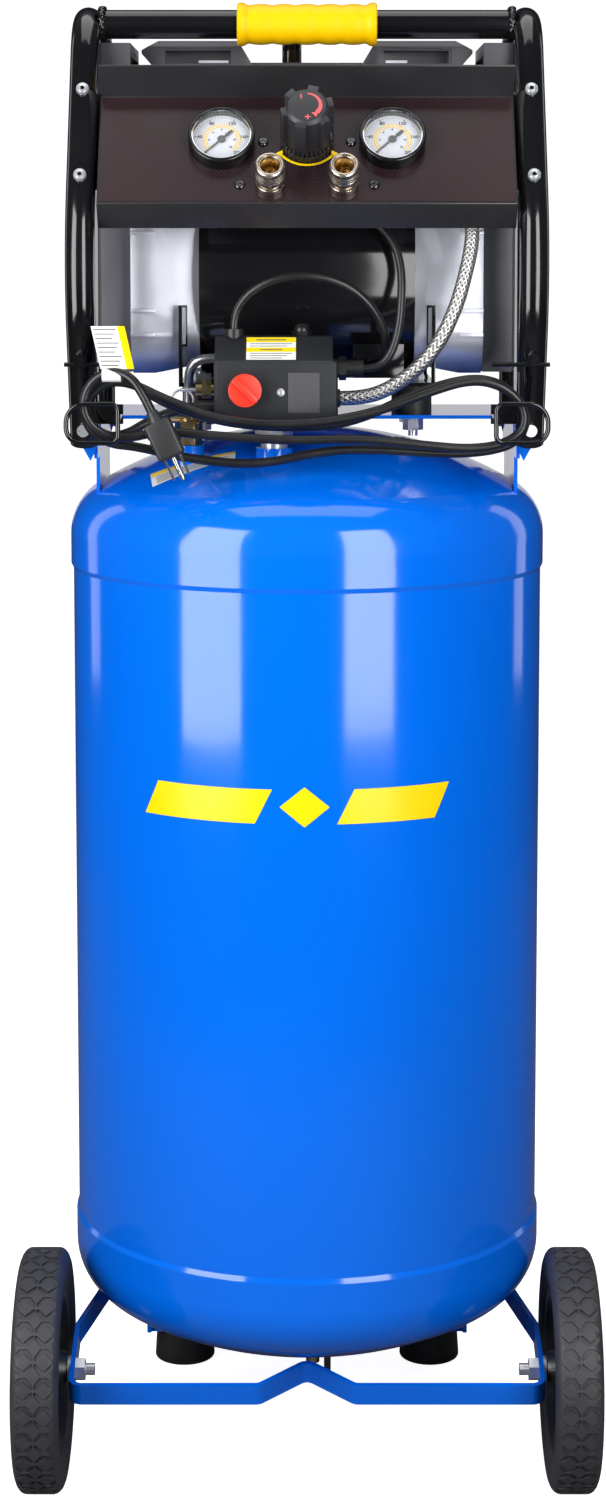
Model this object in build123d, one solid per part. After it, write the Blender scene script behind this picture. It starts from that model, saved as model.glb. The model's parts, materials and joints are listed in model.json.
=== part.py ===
from build123d import *
from math import asin, atan2, cos, degrees, pi, radians, sin, sqrt, tan
import os

# Upright air compressor: a tall steel tank on two wheels and two rubber feet, with a
# twin-ended oil-free pump on a deck above it and a sloping control panel between two
# tube frames. Millimetres, +Z up, +X to the right, the panel faces -Y.
# Everything is drawn about the tank's axis and moved by CENTRE_Y when it is written, so
# that the origin is under the middle of the whole machine.

CENTRE_Y = 8.0

# Tank
TANK_R = 200.0
SHELL_WALL = 2.0
SEAM_LOW = 206.0
SEAM_HIGH = 774.0
HEAD_R = 202.0
HEAD_WALL = 2.0
CROWN_R = 353.0
KNUCKLE_R = 50.0
SKIRT = 25.0
LAP = 20.0

# Wheels and their strap
WHEEL_R = 100.0
WHEEL_IN = 202.0
WHEEL_OUT = 242.0
RIM_R = 66.0
AXLE_Y = -118.0
AXLE_R = 5.0
BAR_THICK = 4.0
BAR_HIGH = 19.0
STRAP_TILT = 14.0
STRAP_X = 197.0

# Rear feet
FOOT_X = 115.0
FOOT_Y = 155.0
FOOT_R = 28.0
FOOT_HIGH = 33.0

# Deck that carries the pump
DECK_TOP = 903.0
DECK_THICK = 3.0
DECK_X = 176.0
DECK_Y = 72.0
STUD_X = 89.0
STUD_Y = (-43.0, 48.0)
ISOLATOR_R = 15.5
ISOLATOR_HIGH = 24.0

# Tube frames, bar and grip
TUBE_R = 12.0
TUBE_WALL = 1.5
TUBE_X = 182.5
FRAME_FOOT_Y = 95.0
FRAME_FOOT_Z = 882.0
KNEE = (-148.0, 1031.0)
TOP_FRONT = (-47.0, 1229.0)
TOP_REAR = (108.0, 1229.0)
BAR_Y = -34.0
BAR_Z = 1225.7

# Control panel, measured up its face from the lower bend
PANEL_TILT = 34.4
PANEL_LOW = (-140.0, 1077.5)
PANEL_HALF = 168.5
PANEL_FACE = 105.5
SHEET = 2.0
LABEL_THICK = 0.5
ROW_HIGH = 59.0
ROW_LOW = 18.0
GAUGE_X = 69.0
GAUGE_R = 27.0
COUPLER_X = 29.5
KNOB_R = 21.2
KNOB_BARREL_R = 17.8
KNOB_LOBES = 6
SCREWS = [(-35.5, 59.0), (35.5, 59.0), (-54.0, 17.0), (54.0, 17.0)]
TILT = radians(PANEL_TILT)
PANEL = Plane(
    origin=(0, PANEL_LOW[0], PANEL_LOW[1]),
    x_dir=(1, 0, 0),
    z_dir=(0, -cos(TILT), sin(TILT)),
)

# Pump
PUMP_Y = 5.0
PUMP_Z = 1018.0
MOTOR_R = 88.0
MOTOR_HALF = 89.0
CASE_OUT = 146.0
CASE_X = 118.0
BORE_R = 30.0
SHAFT_R = 7.0

# Pressure switch
SWITCH_X = (-74.5, 20.8)
SWITCH_FRONT = -142.0
SWITCH_BACK = -86.0
SWITCH_Z = (902.0, 951.5)
SWITCH_CREST = 970.0
SWITCH_KNOB = (-49.8, 928.0)

# Power cord: the points that its route turns at, from the switch to the plug
CORD_R = 3.75
CORD_POINTS = [
    (-88, -124, 911),
    (-106, -124, 911),
    (-127, -129, 903),
    (-147, -136, 891),
    (-166, -140, 890),
    (-177, -142, 904),
    (-176, -144, 924),
    (-161, -147, 938),
    (-141, -148, 935),
    (-112, -150, 916),
    (-62, -151, 901),
    (-4, -151, 898),
    (40, -151, 903),
    (86, -151, 926),
    (126, -150, 938),
    (151, -149, 936),
    (168, -149, 923),
    (177, -149, 905),
    (170, -150, 888),
    (151, -151, 880),
    (116, -152, 877),
    (62, -154, 881),
    (16, -156, 881),
    (-40, -157, 868),
    (-96, -158, 874),
    (-136, -159, 884),
    (-159, -160, 886),
    (-176, -160, 899),
    (-177, -161, 919),
    (-163, -161, 935),
    (-142, -161, 936),
    (-112, -162, 921),
    (-66, -162, 904),
    (-6, -162, 901),
    (52, -162, 910),
    (98, -162, 928),
    (132, -161, 938),
    (157, -161, 932),
    (173, -161, 917),
    (174, -162, 898),
    (158, -163, 886),
    (130, -164, 882),
    (96, -165, 885),
    (42, -166, 891),
    (-16, -167, 889),
    (-72, -168, 893),
    (-118, -168, 897),
    (-146, -168, 890),
    (-168, -168, 896),
    (-179, -169, 914),
    (-174, -170, 934),
    (-158, -172, 945),
    (-141, -176, 942),
    (-130, -180, 928),
    (-123, -181, 913),
]
PLUG_DIRECTION = (7, -1, -15)


def save(name, shape):
    """Move a finished piece to the machine's own origin and write it."""
    export_step(shape.moved(Location((0, CENTRE_Y, 0))), f"parts/{name}.step")


def block(x, y, z):
    """A box from three pairs of limits."""
    return Pos((x[0] + x[1]) / 2, (y[0] + y[1]) / 2, (z[0] + z[1]) / 2) * Box(
        abs(x[1] - x[0]), abs(y[1] - y[0]), abs(z[1] - z[0])
    )


def rod(start, direction, radius, length):
    """A round bar from a point along a direction."""
    return Solid.make_cylinder(radius, length, Plane(origin=start, z_dir=direction))


def ring(start, direction, outer, inner, length):
    """A round sleeve from a point along a direction."""
    return rod(start, direction, outer, length) - rod(start, direction, inner, length)


def hexagon(start, direction, across_flats, length):
    """A hexagonal prism from a point along a direction."""
    plane = Plane(origin=start, z_dir=direction)
    return extrude(plane * RegularPolygon(across_flats / 2, 6, major_radius=False), length)


def nut(start, direction, across_flats, hole, length):
    """A hexagon nut with a plain hole."""
    return hexagon(start, direction, across_flats, length) - rod(start, direction, hole, length)


def on_panel(shape):
    """Place a shape drawn with x across, y up the face and z out of it."""
    return PANEL.location * shape


def mirrored(shape):
    """The same shape on the other side of the machine."""
    return shape.mirror(Plane.YZ)


def group(*shapes):
    """Several separate solids kept in one node."""
    return Compound([solid for shape in shapes for solid in shape.solids()])


def route(points):
    """Straight runs joined by tangent arcs, each as large as its two runs allow."""
    radii = []
    for before, here, after in zip(points, points[1:], points[2:]):
        arriving = Vector(*here) - Vector(*before)
        leaving = Vector(*after) - Vector(*here)
        half_turn = radians(arriving.get_angle(leaving)) / 2
        shorter = min(arriving.length, leaving.length)
        radii.append(0.45 * shorter / tan(half_turn))
    return FilletPolyline(*points, radius=radii), radii


def pipe(points, radius, hollow=0.0):
    """A round tube or cord along a route."""
    path = route(points)[0]
    start = Plane(origin=path @ 0, z_dir=path % 0)
    section = Circle(radius)
    if hollow:
        section = section - Circle(hollow)
    return sweep(start * section, path=path)


# ---------------------------------------------------------------- tank


def dome_outline(inset):
    """Knuckle and crown arcs of a dished head, height measured from its open edge."""
    knuckle_x = HEAD_R - KNUCKLE_R
    reach = CROWN_R - KNUCKLE_R
    centre_z = SKIRT - sqrt(reach**2 - knuckle_x**2)
    lean = asin(knuckle_x / reach)
    knuckle = KNUCKLE_R - inset
    crown = CROWN_R - inset
    start = (HEAD_R - inset, SKIRT)
    middle_angle = (pi / 2 - lean) / 2
    middle = (knuckle_x + knuckle * cos(middle_angle), SKIRT + knuckle * sin(middle_angle))
    join = (crown * sin(lean), centre_z + crown * cos(lean))
    half = (crown * sin(lean / 2), centre_z + crown * cos(lean / 2))
    top = (0, centre_z + crown)
    return start, middle, join, half, top


def tank_head(hollow):
    """A dished head, open side down, with its weld bead below the skirt."""
    outer = dome_outline(0)
    lines = [
        ThreePointArc(outer[0], outer[1], outer[2]),
        ThreePointArc(outer[2], outer[3], outer[4]),
        Line((HEAD_R, 0), outer[0]),
    ]
    if hollow:
        inner = dome_outline(HEAD_WALL)
        lines += [
            Line(outer[4], inner[4]),
            ThreePointArc(inner[4], inner[3], inner[2]),
            ThreePointArc(inner[2], inner[1], inner[0]),
            Line(inner[0], (TANK_R, -4)),
            Line((TANK_R, -4), (HEAD_R, 0)),
        ]
    else:
        lines += [Line(outer[4], (0, 0)), Line((0, 0), (HEAD_R, 0))]
    return revolve(Plane.XZ * make_face(lines), axis=Axis.Z)


def tank_envelope():
    """The tank as one solid, used to trim what is welded to it."""
    top = Pos(0, 0, SEAM_HIGH) * tank_head(False)
    bottom = Pos(0, 0, SEAM_LOW) * Rot(180, 0, 0) * tank_head(False)
    return top + bottom + rod((0, 0, SEAM_LOW), (0, 0, 1), TANK_R, SEAM_HIGH - SEAM_LOW)


TANK = tank_envelope()


def make_tank():
    shell_low = SEAM_LOW - LAP
    shell_long = SEAM_HIGH - SEAM_LOW + 2 * LAP
    save("tank_shell", ring((0, 0, shell_low), (0, 0, 1), TANK_R, TANK_R - SHELL_WALL, shell_long))
    save("tank_head_top", Pos(0, 0, SEAM_HIGH) * tank_head(True))
    save("tank_head_bottom", Pos(0, 0, SEAM_LOW) * Rot(180, 0, 0) * tank_head(True))
    manifold_port = rod((-27, -108, 855), (0, 0, 1), 15, 24) - TANK
    valve_port = rod((-98, -80, 850), (0, 0, 1), 13, 29) - TANK
    drain_port = rod((5, 0, 80), (0, 0, 1), 13, 20) - TANK
    save("tank_ports", group(manifold_port, valve_port, drain_port))


def make_drain():
    body = hexagon((5, 0, 66), (0, 0, 1), 16, 14) + rod((5, 0, 58), (0, 0, 1), 6, 8)
    stem = rod((5, 0, 73), (1, 0, 0), 4, 14)
    save("drain_valve", body + stem - rod((5, 0, 58), (0, 0, 1), 3, 22))
    boss = ring((15, 0, 73), (1, 0, 0), 7, 4.05, 6)
    arm = block((15, 21), (-5, 5), (45, 67))
    save("drain_lever", boss + arm - rod((14, 0, 73), (1, 0, 0), 4.05, 8))


# ---------------------------------------------------------------- wheels and feet


def make_strap():
    """One flat bar bent on its flat: a shallow V in front, side plates, struts to the tank."""
    lean = cos(radians(STRAP_TILT))
    plan = [(0, -119), (40, -150), (STRAP_X, -150), (STRAP_X, -70), (172, 2)]
    half = [(x, (y - AXLE_Y) / lean, 0) for x, y in plan]
    points = [(-x, y, z) for x, y, z in reversed(half[1:])] + half
    path = FilletPolyline(*points, radius=9)
    start = Plane(origin=path @ 0, x_dir=(0, 0, 1), z_dir=path % 0)
    bar = sweep(start * Rectangle(BAR_HIGH, BAR_THICK), path=path)
    bar = Pos(0, AXLE_Y, WHEEL_R) * Rot(STRAP_TILT, 0, 0) * bar
    hole = rod((-210, AXLE_Y, WHEEL_R), (1, 0, 0), AXLE_R + 0.1, 420)
    save("wheel_strap", (bar - hole - TANK).solids().sort_by(SortBy.VOLUME)[-1])


def tyre_section():
    """Solid tyre: rounded shoulders, a flat crown and a seat for the rim."""
    low = WHEEL_IN
    high = WHEEL_OUT
    corners = [
        (low + 5, RIM_R),
        (high - 5, RIM_R),
        (high - 2, RIM_R + 8),
        (high, WHEEL_R - 12),
        (high - 4, WHEEL_R - 2),
        (high - 8, WHEEL_R),
        (low + 8, WHEEL_R),
        (low + 4, WHEEL_R - 2),
        (low, WHEEL_R - 12),
        (low + 2, RIM_R + 8),
    ]
    return make_face(Polyline(*corners, close=True))


def hub_section():
    """Moulded hub: a rim ring, a dished web and a long boss on the axle."""
    corners = [
        (WHEEL_IN + 0.3, AXLE_R + 0.05),
        (234, AXLE_R + 0.05),
        (234, 15),
        (224, 18),
        (222, 50),
        (238, 58),
        (238, RIM_R - 0.02),
        (206, RIM_R - 0.02),
        (206, 60),
        (216, 52),
        (216, 18),
        (WHEEL_IN + 0.3, 14),
    ]
    return make_face(Polyline(*corners, close=True))


def make_wheels():
    axis_plane = Plane(origin=(0, AXLE_Y, WHEEL_R), x_dir=(1, 0, 0), z_dir=(0, -1, 0))
    axis = Axis((0, AXLE_Y, WHEEL_R), (1, 0, 0))
    tyre = revolve(axis_plane * tyre_section(), axis=axis)
    hub = revolve(axis_plane * hub_section(), axis=axis)
    for k in range(6):
        rib = Rot(60 * k, 0, 0) * block((222.5, 232), (-2, 2), (16, 54))
        hub += Pos(0, AXLE_Y, WHEEL_R) * rib
    save("tyre_right", tyre)
    save("hub_right", hub)
    save("tyre_left", mirrored(tyre))
    save("hub_left", mirrored(hub))
    head = hexagon((236, AXLE_Y, WHEEL_R), (1, 0, 0), 16, 6)
    bolt = rod((179, AXLE_Y, WHEEL_R), (1, 0, 0), AXLE_R, 57.5) + head
    save("axle_bolts", group(bolt, mirrored(bolt)))
    inner_nut = nut((187, AXLE_Y, WHEEL_R), (1, 0, 0), 17, AXLE_R, 8)
    washer = ring((199.05, AXLE_Y, WHEEL_R), (1, 0, 0), 11, AXLE_R, 2.5)
    outer_washer = ring((234.3, AXLE_Y, WHEEL_R), (1, 0, 0), 10, AXLE_R, 1.7)
    side = [inner_nut, washer, outer_washer]
    save("axle_nuts", group(*side, *[mirrored(piece) for piece in side]))


def make_feet():
    """A bent strap under the back of the tank with a tapered rubber foot at each end."""
    low = FOOT_HIGH
    base = block((-149, 149), (FOOT_Y - 27, FOOT_Y + 23), (low, low + 4))
    upright = block((145, 149), (FOOT_Y - 30, FOOT_Y + 23), (low, 178))
    corner = Polyline((FOOT_Y + 30, 62), (FOOT_Y + 30, 190), (FOOT_Y - 18, 190), close=True)
    trim = extrude(Plane.YZ.offset(140) * make_face(corner), 20)
    upright = upright - trim
    bracket = (base + upright + mirrored(upright) - TANK).solids().sort_by(SortBy.VOLUME)[-1]
    for x in (-FOOT_X, FOOT_X):
        bracket -= rod((x, FOOT_Y, low - 1), (0, 0, 1), 4, 8)
    save("foot_bracket", bracket)
    feet = []
    for x in (-FOOT_X, FOOT_X):
        foot = Pos(x, FOOT_Y, low / 2) * Cone(FOOT_R, FOOT_R - 2, low)
        foot = chamfer(foot.edges().group_by(Axis.Z)[0], 1.5)
        feet.append(foot)
    save("rubber_feet", group(*feet))


# ---------------------------------------------------------------- deck and frames


def frame_path(x):
    """Centre line of one side frame, from its front foot over the top to its rear foot."""
    points = [(-FRAME_FOOT_Y, FRAME_FOOT_Z), KNEE, TOP_FRONT, TOP_REAR, (FRAME_FOOT_Y, FRAME_FOOT_Z)]
    return FilletPolyline(*[(x, y, z) for y, z in points], radius=[140, 50, 45])


def frame_tube(x, inner):
    path = frame_path(x)
    section = Circle(TUBE_R)
    if inner:
        section -= Circle(TUBE_R - TUBE_WALL)
    return sweep(Plane(origin=path @ 0, z_dir=path % 0) * section, path=path)


FRAMES = {"left": frame_tube(-TUBE_X, False), "right": frame_tube(TUBE_X, False)}


def frame_centre(z):
    """Y of the front leg's centre line at a height above its knee or below it."""
    low_y = -FRAME_FOOT_Y
    if z < KNEE[1]:
        return low_y + (KNEE[0] - low_y) * (z - FRAME_FOOT_Z) / (KNEE[1] - FRAME_FOOT_Z)
    return KNEE[0] + (TOP_FRONT[0] - KNEE[0]) * (z - KNEE[1]) / (TOP_FRONT[1] - KNEE[1])


LEAN = atan2(TOP_FRONT[0] - KNEE[0], TOP_FRONT[1] - KNEE[1])
BOLT_WAY = (0, cos(LEAN), -sin(LEAN))
PANEL_BOLT_Z = (1094, 1164)
EAR_BOLT_Z = 893


def make_deck():
    """A bent bridge: top plate, two legs welded to the tank, four ears for the frames."""
    out = DECK_X
    top = block((-out, out), (-DECK_Y, DECK_Y), (DECK_TOP - DECK_THICK, DECK_TOP))
    outline = Polyline(
        (-84, DECK_TOP), (-84, 868), (-60, 868), (-60, 800), (60, 800), (60, 868), (81, 868), (81, DECK_TOP),
        close=True,
    )
    leg = extrude(Plane.YZ.offset(out - DECK_THICK) * make_face(outline), DECK_THICK)
    ear_shape = Polyline((170, DECK_TOP), (193, DECK_TOP), (190, 886), (179, 866), (173, 878), (170, 890), close=True)
    front_ear = extrude(Plane.XZ.offset(83) * make_face(ear_shape), DECK_THICK)
    rear_ear = extrude(Plane.XZ.offset(-82.5) * make_face(ear_shape), DECK_THICK)
    side = leg + front_ear + rear_ear
    deck = top + side + mirrored(side)
    deck -= TANK
    for x in (-STUD_X, STUD_X):
        for y in STUD_Y:
            deck -= rod((x, y, DECK_TOP - 5), (0, 0, 1), 4.2, 8)
    for x in (-TUBE_X, TUBE_X):
        deck -= rod((x, -100, EAR_BOLT_Z), (0, 1, 0), 3.2, 200)
    deck = deck - FRAMES["left"] - FRAMES["right"]
    save("deck", deck.solids().sort_by(SortBy.VOLUME)[-1])


def make_isolators():
    pads = []
    studs = []
    for x in (-STUD_X, STUD_X):
        for y in STUD_Y:
            pad = rod((x, y, DECK_TOP), (0, 0, 1), ISOLATOR_R, ISOLATOR_HIGH)
            pads.append(pad - rod((x, y, DECK_TOP), (0, 0, 1), 4, ISOLATOR_HIGH))
            stud = rod((x, y, 884), (0, 0, 1), 4, 54)
            stud += hexagon((x, y, 889), (0, 0, 1), 15, 10.9)
            stud += hexagon((x, y, 930.1), (0, 0, 1), 15, 6.4)
            studs.append(stud)
    save("isolators", group(*pads))
    save("isolator_bolts", group(*studs))


def cross_bolt(start, direction, grip):
    """A pan-head screw whose head seats at the start, with a nut past the grip length."""
    back = Vector(*direction) * -1
    screw = rod(start, direction, 3.0, grip + 8)
    screw += rod(start, back, 5.0, 3)
    return screw + hexagon(Vector(*start) + Vector(*direction) * grip, direction, 10, 5)


def make_frames():
    """Bent tubes, each held by two screws to the panel and one to each ear of the deck."""
    bolts = []
    for name, x in (("left", -TUBE_X), ("right", TUBE_X)):
        tube = frame_tube(x, True)
        for z in PANEL_BOLT_Z:
            y = frame_centre(z)
            tube -= rod((x, y - 20 * BOLT_WAY[1], z - 20 * BOLT_WAY[2]), BOLT_WAY, 3.1, 40)
            seat = (x, y - TUBE_R * BOLT_WAY[1], z - TUBE_R * BOLT_WAY[2])
            bolts.append(cross_bolt(seat, BOLT_WAY, 2 * TUBE_R + SHEET + 0.4))
        y = frame_centre(EAR_BOLT_Z)
        tube -= rod((x, -130, EAR_BOLT_Z), (0, 1, 0), 3.1, 260)
        bolts.append(cross_bolt((x, y - TUBE_R - 2.6, EAR_BOLT_Z), (0, 1, 0), -y - 82.9 + TUBE_R + 2.6))
        bolts.append(cross_bolt((x, 108.6, EAR_BOLT_Z), (0, -1, 0), 108.6 - 79.4))
        save(f"side_frame_{name}", tube)
    save("frame_bolts", group(*bolts))
    bar = rod((-172, BAR_Y, BAR_Z), (1, 0, 0), TUBE_R, 344)
    bar -= rod((-172, BAR_Y, BAR_Z), (1, 0, 0), TUBE_R - TUBE_WALL, 344)
    bar = bar - FRAMES["left"] - FRAMES["right"]
    save("cross_bar", bar.solids().sort_by(SortBy.VOLUME)[-1])
    half = 58.0
    edge = [(-half, 18), (-half + 6, 18), (-half + 8, 16), (half - 8, 16), (half - 6, 18), (half, 18)]
    outline = Polyline((-half, TUBE_R + 0.05), *edge, (half, TUBE_R + 0.05), close=True)
    plane = Plane(origin=(0, BAR_Y, BAR_Z), x_dir=(1, 0, 0), z_dir=(0, -1, 0))
    axis = Axis((0, BAR_Y, BAR_Z), (1, 0, 0))
    save("handle_grip", revolve(plane * make_face(outline), axis=axis))


# ---------------------------------------------------------------- control panel


def make_panel():
    """One bent sheet: a face, a hood along its top, a skirt along its bottom, two side tabs."""
    hood = (-20.2, 24.0)
    skirt = (15.2, -18.5)
    low_y, low_z = PANEL_LOW
    top_y = low_y + PANEL_FACE * sin(TILT)
    top_z = low_z + PANEL_FACE * cos(TILT)
    section = Polyline(
        (low_y + skirt[0], low_z + skirt[1]), (low_y, low_z), (top_y, top_z), (top_y + hood[0], top_z + hood[1])
    )
    strip = offset(section, amount=SHEET / 2, side=Side.BOTH, closed=True)
    sheet = extrude(Plane.YZ.offset(-PANEL_HALF) * make_face(strip), 2 * PANEL_HALF)
    # The face's front surface is the plane that everything on the panel is placed on.
    back = Vector(0, cos(TILT), -sin(TILT)) * (SHEET / 2)
    sheet = sheet.moved(Location(back))
    for x in (-GAUGE_X, GAUGE_X):
        sheet -= on_panel(rod((x, ROW_HIGH, -5), (0, 0, 1), 23.5, 10))
    sheet -= on_panel(rod((0, ROW_HIGH, -5), (0, 0, 1), 15.5, 10))
    for x in (-COUPLER_X, COUPLER_X):
        sheet -= on_panel(rod((x, ROW_LOW, -5), (0, 0, 1), 9.2, 10))
    for x, y in SCREWS:
        sheet -= on_panel(rod((x, y, -5), (0, 0, 1), 2.1, 10))
    # Tabs behind the frame tubes, parallel to them.
    tab_gap = TUBE_R + 0.3
    tabs = []
    for side in (-1, 1):
        middle = (side * 179.5, frame_centre(1129) + tab_gap / cos(LEAN), 1129)
        tab = Pos(*middle) * Rot(-degrees(LEAN), 0, 0) * Pos(0, SHEET / 2, 0) * Box(26, SHEET, 90)
        cheek = block((side * (PANEL_HALF - SHEET), side * PANEL_HALF), (-170, -50), (1000, 1250))
        wedge = Polyline((-134.5, 1085), (-90, 1148), (-72, 1170), (-64, 1165), (-106, 1085), close=True)
        cheek = cheek & extrude(Plane.YZ.offset(-200) * make_face(wedge), 400)
        tabs.append(tab + cheek)
    sheet = sheet + tabs[0] + tabs[1]
    for x in (-TUBE_X, TUBE_X):
        for z in PANEL_BOLT_Z:
            sheet -= rod((x, frame_centre(z), z), BOLT_WAY, 3.1, 30)
    sheet = sheet - FRAMES["left"] - FRAMES["right"]
    save("control_panel", sheet.solids().sort_by(SortBy.VOLUME)[-1])


def make_label():
    label = Pos(0, PANEL_FACE / 2, LABEL_THICK / 2) * Box(2 * PANEL_HALF - 3, PANEL_FACE - 3, LABEL_THICK)
    for x in (-GAUGE_X, GAUGE_X):
        label -= rod((x, ROW_HIGH, -1), (0, 0, 1), 23.5, 3)
    label -= rod((0, ROW_HIGH, -1), (0, 0, 1), 15.5, 3)
    for x in (-COUPLER_X, COUPLER_X):
        label -= rod((x, ROW_LOW, -1), (0, 0, 1), 9.2, 3)
    for x, y in SCREWS:
        label -= rod((x, y, -1), (0, 0, 1), 2.1, 3)
    save("panel_label", on_panel(label))
    screws = []
    for x, y in SCREWS:
        shank = rod((x, y, -8), (0, 0, 1), 2, 8.5)
        head = rod((x, y, LABEL_THICK), (0, 0, 1), 4, 2.2)
        head = fillet(head.edges().group_by(Axis.Z)[-1], 1.5)
        slot = Pos(x, y, 2.7) * (Box(4.5, 0.9, 1.6) + Box(0.9, 4.5, 1.6))
        screws.append(shank + (head - slot))
    save("panel_screws", group(*[on_panel(screw) for screw in screws]))


def make_regulator():
    """Die-cast body behind the panel with a threaded neck, and the lobed knob on it."""
    neck = rod((0, ROW_HIGH, -20), (0, 0, 1), 15, 26)
    collar = ring((0, ROW_HIGH, LABEL_THICK), (0, 0, 1), 20, 15, 5.5)
    spindle = rod((0, ROW_HIGH, 6), (0, 0, 1), 6, 18)
    bonnet = rod((0, ROW_HIGH, -44), (0, 0, 1), 20, 24)
    manifold = block((-92, 92), (8, 30), (-40, -18))
    riser = block((-14, 14), (28, 62), (-40, -20))
    inlet = rod((92, 19, -29), (1, 0, 0), 8, 12)
    body = neck + collar + spindle + bonnet + manifold + riser + inlet
    for x in (-GAUGE_X, GAUGE_X):
        body += block((x - 9, x + 9), (28, 68), (-40, -24))
    save("regulator_body", on_panel(body))
    barrel = rod((0, ROW_HIGH, 6.4), (0, 0, 1), KNOB_BARREL_R, 43.6)
    knob = chamfer(barrel.edges().sort_by(Axis.Z)[-1], 2.6)
    for k in range(KNOB_LOBES):
        lobe = block((KNOB_BARREL_R - 2.8, KNOB_R), (-4.2, 4.2), (14, 48.2))
        knob += Pos(0, ROW_HIGH, 0) * Rot(0, 0, 15 + 360 * k / KNOB_LOBES) * lobe
    knob -= rod((0, ROW_HIGH, 6), (0, 0, 1), 16, 22)
    hub = ring((0, ROW_HIGH, 12), (0, 0, 1), 10, 6.05, 17)
    knob = knob + hub - rod((0, ROW_HIGH, 6), (0, 0, 1), 6.05, 18.3)
    save("regulator_knob", on_panel(knob))


def make_gauges():
    """Two back-mounted dial gauges: cup and bezel, dial, needle and lens."""
    cases = []
    dials = []
    lenses = []
    for name, x in (("left", -GAUGE_X), ("right", GAUGE_X)):
        cup = rod((x, ROW_HIGH, LABEL_THICK), (0, 0, 1), GAUGE_R, 12.5)
        cup = fillet(cup.edges().group_by(Axis.Z)[-1], 1.5)
        cup += rod((x, ROW_HIGH, -16), (0, 0, 1), 23, 17)
        cup += rod((x, ROW_HIGH, -24), (0, 0, 1), 6, 9)
        cup -= rod((x, ROW_HIGH, 3), (0, 0, 1), 24, 12)
        cases.append(on_panel(cup))
        dials.append(on_panel(ring((x, ROW_HIGH, 3), (0, 0, 1), 24, 1.5, 1)))
        hub = rod((x, ROW_HIGH, 4.2), (0, 0, 1), 3.2, 1.6) + rod((x, ROW_HIGH, 3.05), (0, 0, 1), 1.44, 1.3)
        pointer = Polyline(
            (0, 0.8), (19.5, 0.45), (19.5, -0.45), (0, -0.8), (-4.5, -0.8), (-6, -1.5), (-12, -1.1), (-12, 1.1),
            (-6, 1.5), (-4.5, 0.8),
            close=True,
        )
        pointer = extrude(make_face(pointer), 0.8)
        pointer = Pos(x, ROW_HIGH, 4.6) * Rot(0, 0, 225) * pointer
        save(f"needle_{name}", on_panel(hub + pointer))
        lenses.append(on_panel(rod((x, ROW_HIGH, 9), (0, 0, 1), 24, 1.5)))
    save("gauge_cases", group(*cases))
    save("gauge_dials", group(*dials))
    save("gauge_lenses", group(*lenses))


def make_couplers():
    """Quick couplers: a bored body through the panel and a sprung ring round its nose."""
    bodies = []
    for name, x in (("left", -COUPLER_X), ("right", COUPLER_X)):
        body = rod((x, ROW_LOW, LABEL_THICK), (0, 0, 1), 12, 6)
        body += rod((x, ROW_LOW, -18), (0, 0, 1), 9, 19)
        body += rod((x, ROW_LOW, 6), (0, 0, 1), 9.2, 21)
        body -= rod((x, ROW_LOW, 7), (0, 0, 1), 5.5, 21)
        bodies.append(on_panel(body))
        sleeve = ring((x, ROW_LOW, 11), (0, 0, 1), 12, 9.25, 17)
        for z in (15.5, 18.5, 21.5):
            sleeve -= ring((x, ROW_LOW, z), (0, 0, 1), 13, 11.2, 1.2)
        sleeve = chamfer(sleeve.edges().group_by(Axis.Z)[-1].sort_by(SortBy.LENGTH)[-1], 1.2)
        save(f"coupler_sleeve_{name}", on_panel(sleeve))
    save("coupler_bodies", group(*bodies))


# ---------------------------------------------------------------- pump


def make_motor():
    half = MOTOR_HALF
    shell = ring((-half, PUMP_Y, PUMP_Z), (1, 0, 0), MOTOR_R, 80, 2 * half)
    for side in (-1, 1):
        plate = ring((side * half, PUMP_Y, PUMP_Z), (-side, 0, 0), 81, SHAFT_R + 0.05, 5)
        shell += plate
    terminal = block((38, 80), (-74, -40), (934, 962))
    upper_box = block((22, 54), (-84, -40), (1090, 1112)) + rod((38, -77, 1082), (0, 0, 1), 6.5, 9)
    solid = rod((-half, PUMP_Y, PUMP_Z), (1, 0, 0), 85, 2 * half)
    stem = rod((-13, 35, 1092), (0, 0, 1), 8.3, 116)
    shell += (terminal - solid) + (upper_box - solid) + (stem - solid)
    save("motor_housing", shell)
    save("stator", ring((-62, PUMP_Y, PUMP_Z), (1, 0, 0), 79.9, 45, 124))
    shaft = rod((-164, PUMP_Y, PUMP_Z), (1, 0, 0), SHAFT_R, 328)
    shaft += rod((-60, PUMP_Y, PUMP_Z), (1, 0, 0), 44, 120)
    for side in (-1, 1):
        shaft += rod((side * 108, PUMP_Y, PUMP_Z + 10), (side, 0, 0), 20, 18)
    save("rotor", shaft)
    fans = []
    for side in (-1, 1):
        fan = ring((side * 150, PUMP_Y, PUMP_Z), (side, 0, 0), 16, SHAFT_R, 12)
        for k in range(9):
            blade = Rot(40 * k, 0, 0) * (Pos(side * 156, 0, 31) * Rot(0, 0, 30) * Box(2, 20, 34))
            fan += Pos(0, PUMP_Y, PUMP_Z) * blade
        fans.append(fan)
    save("fans", group(*fans))


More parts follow.
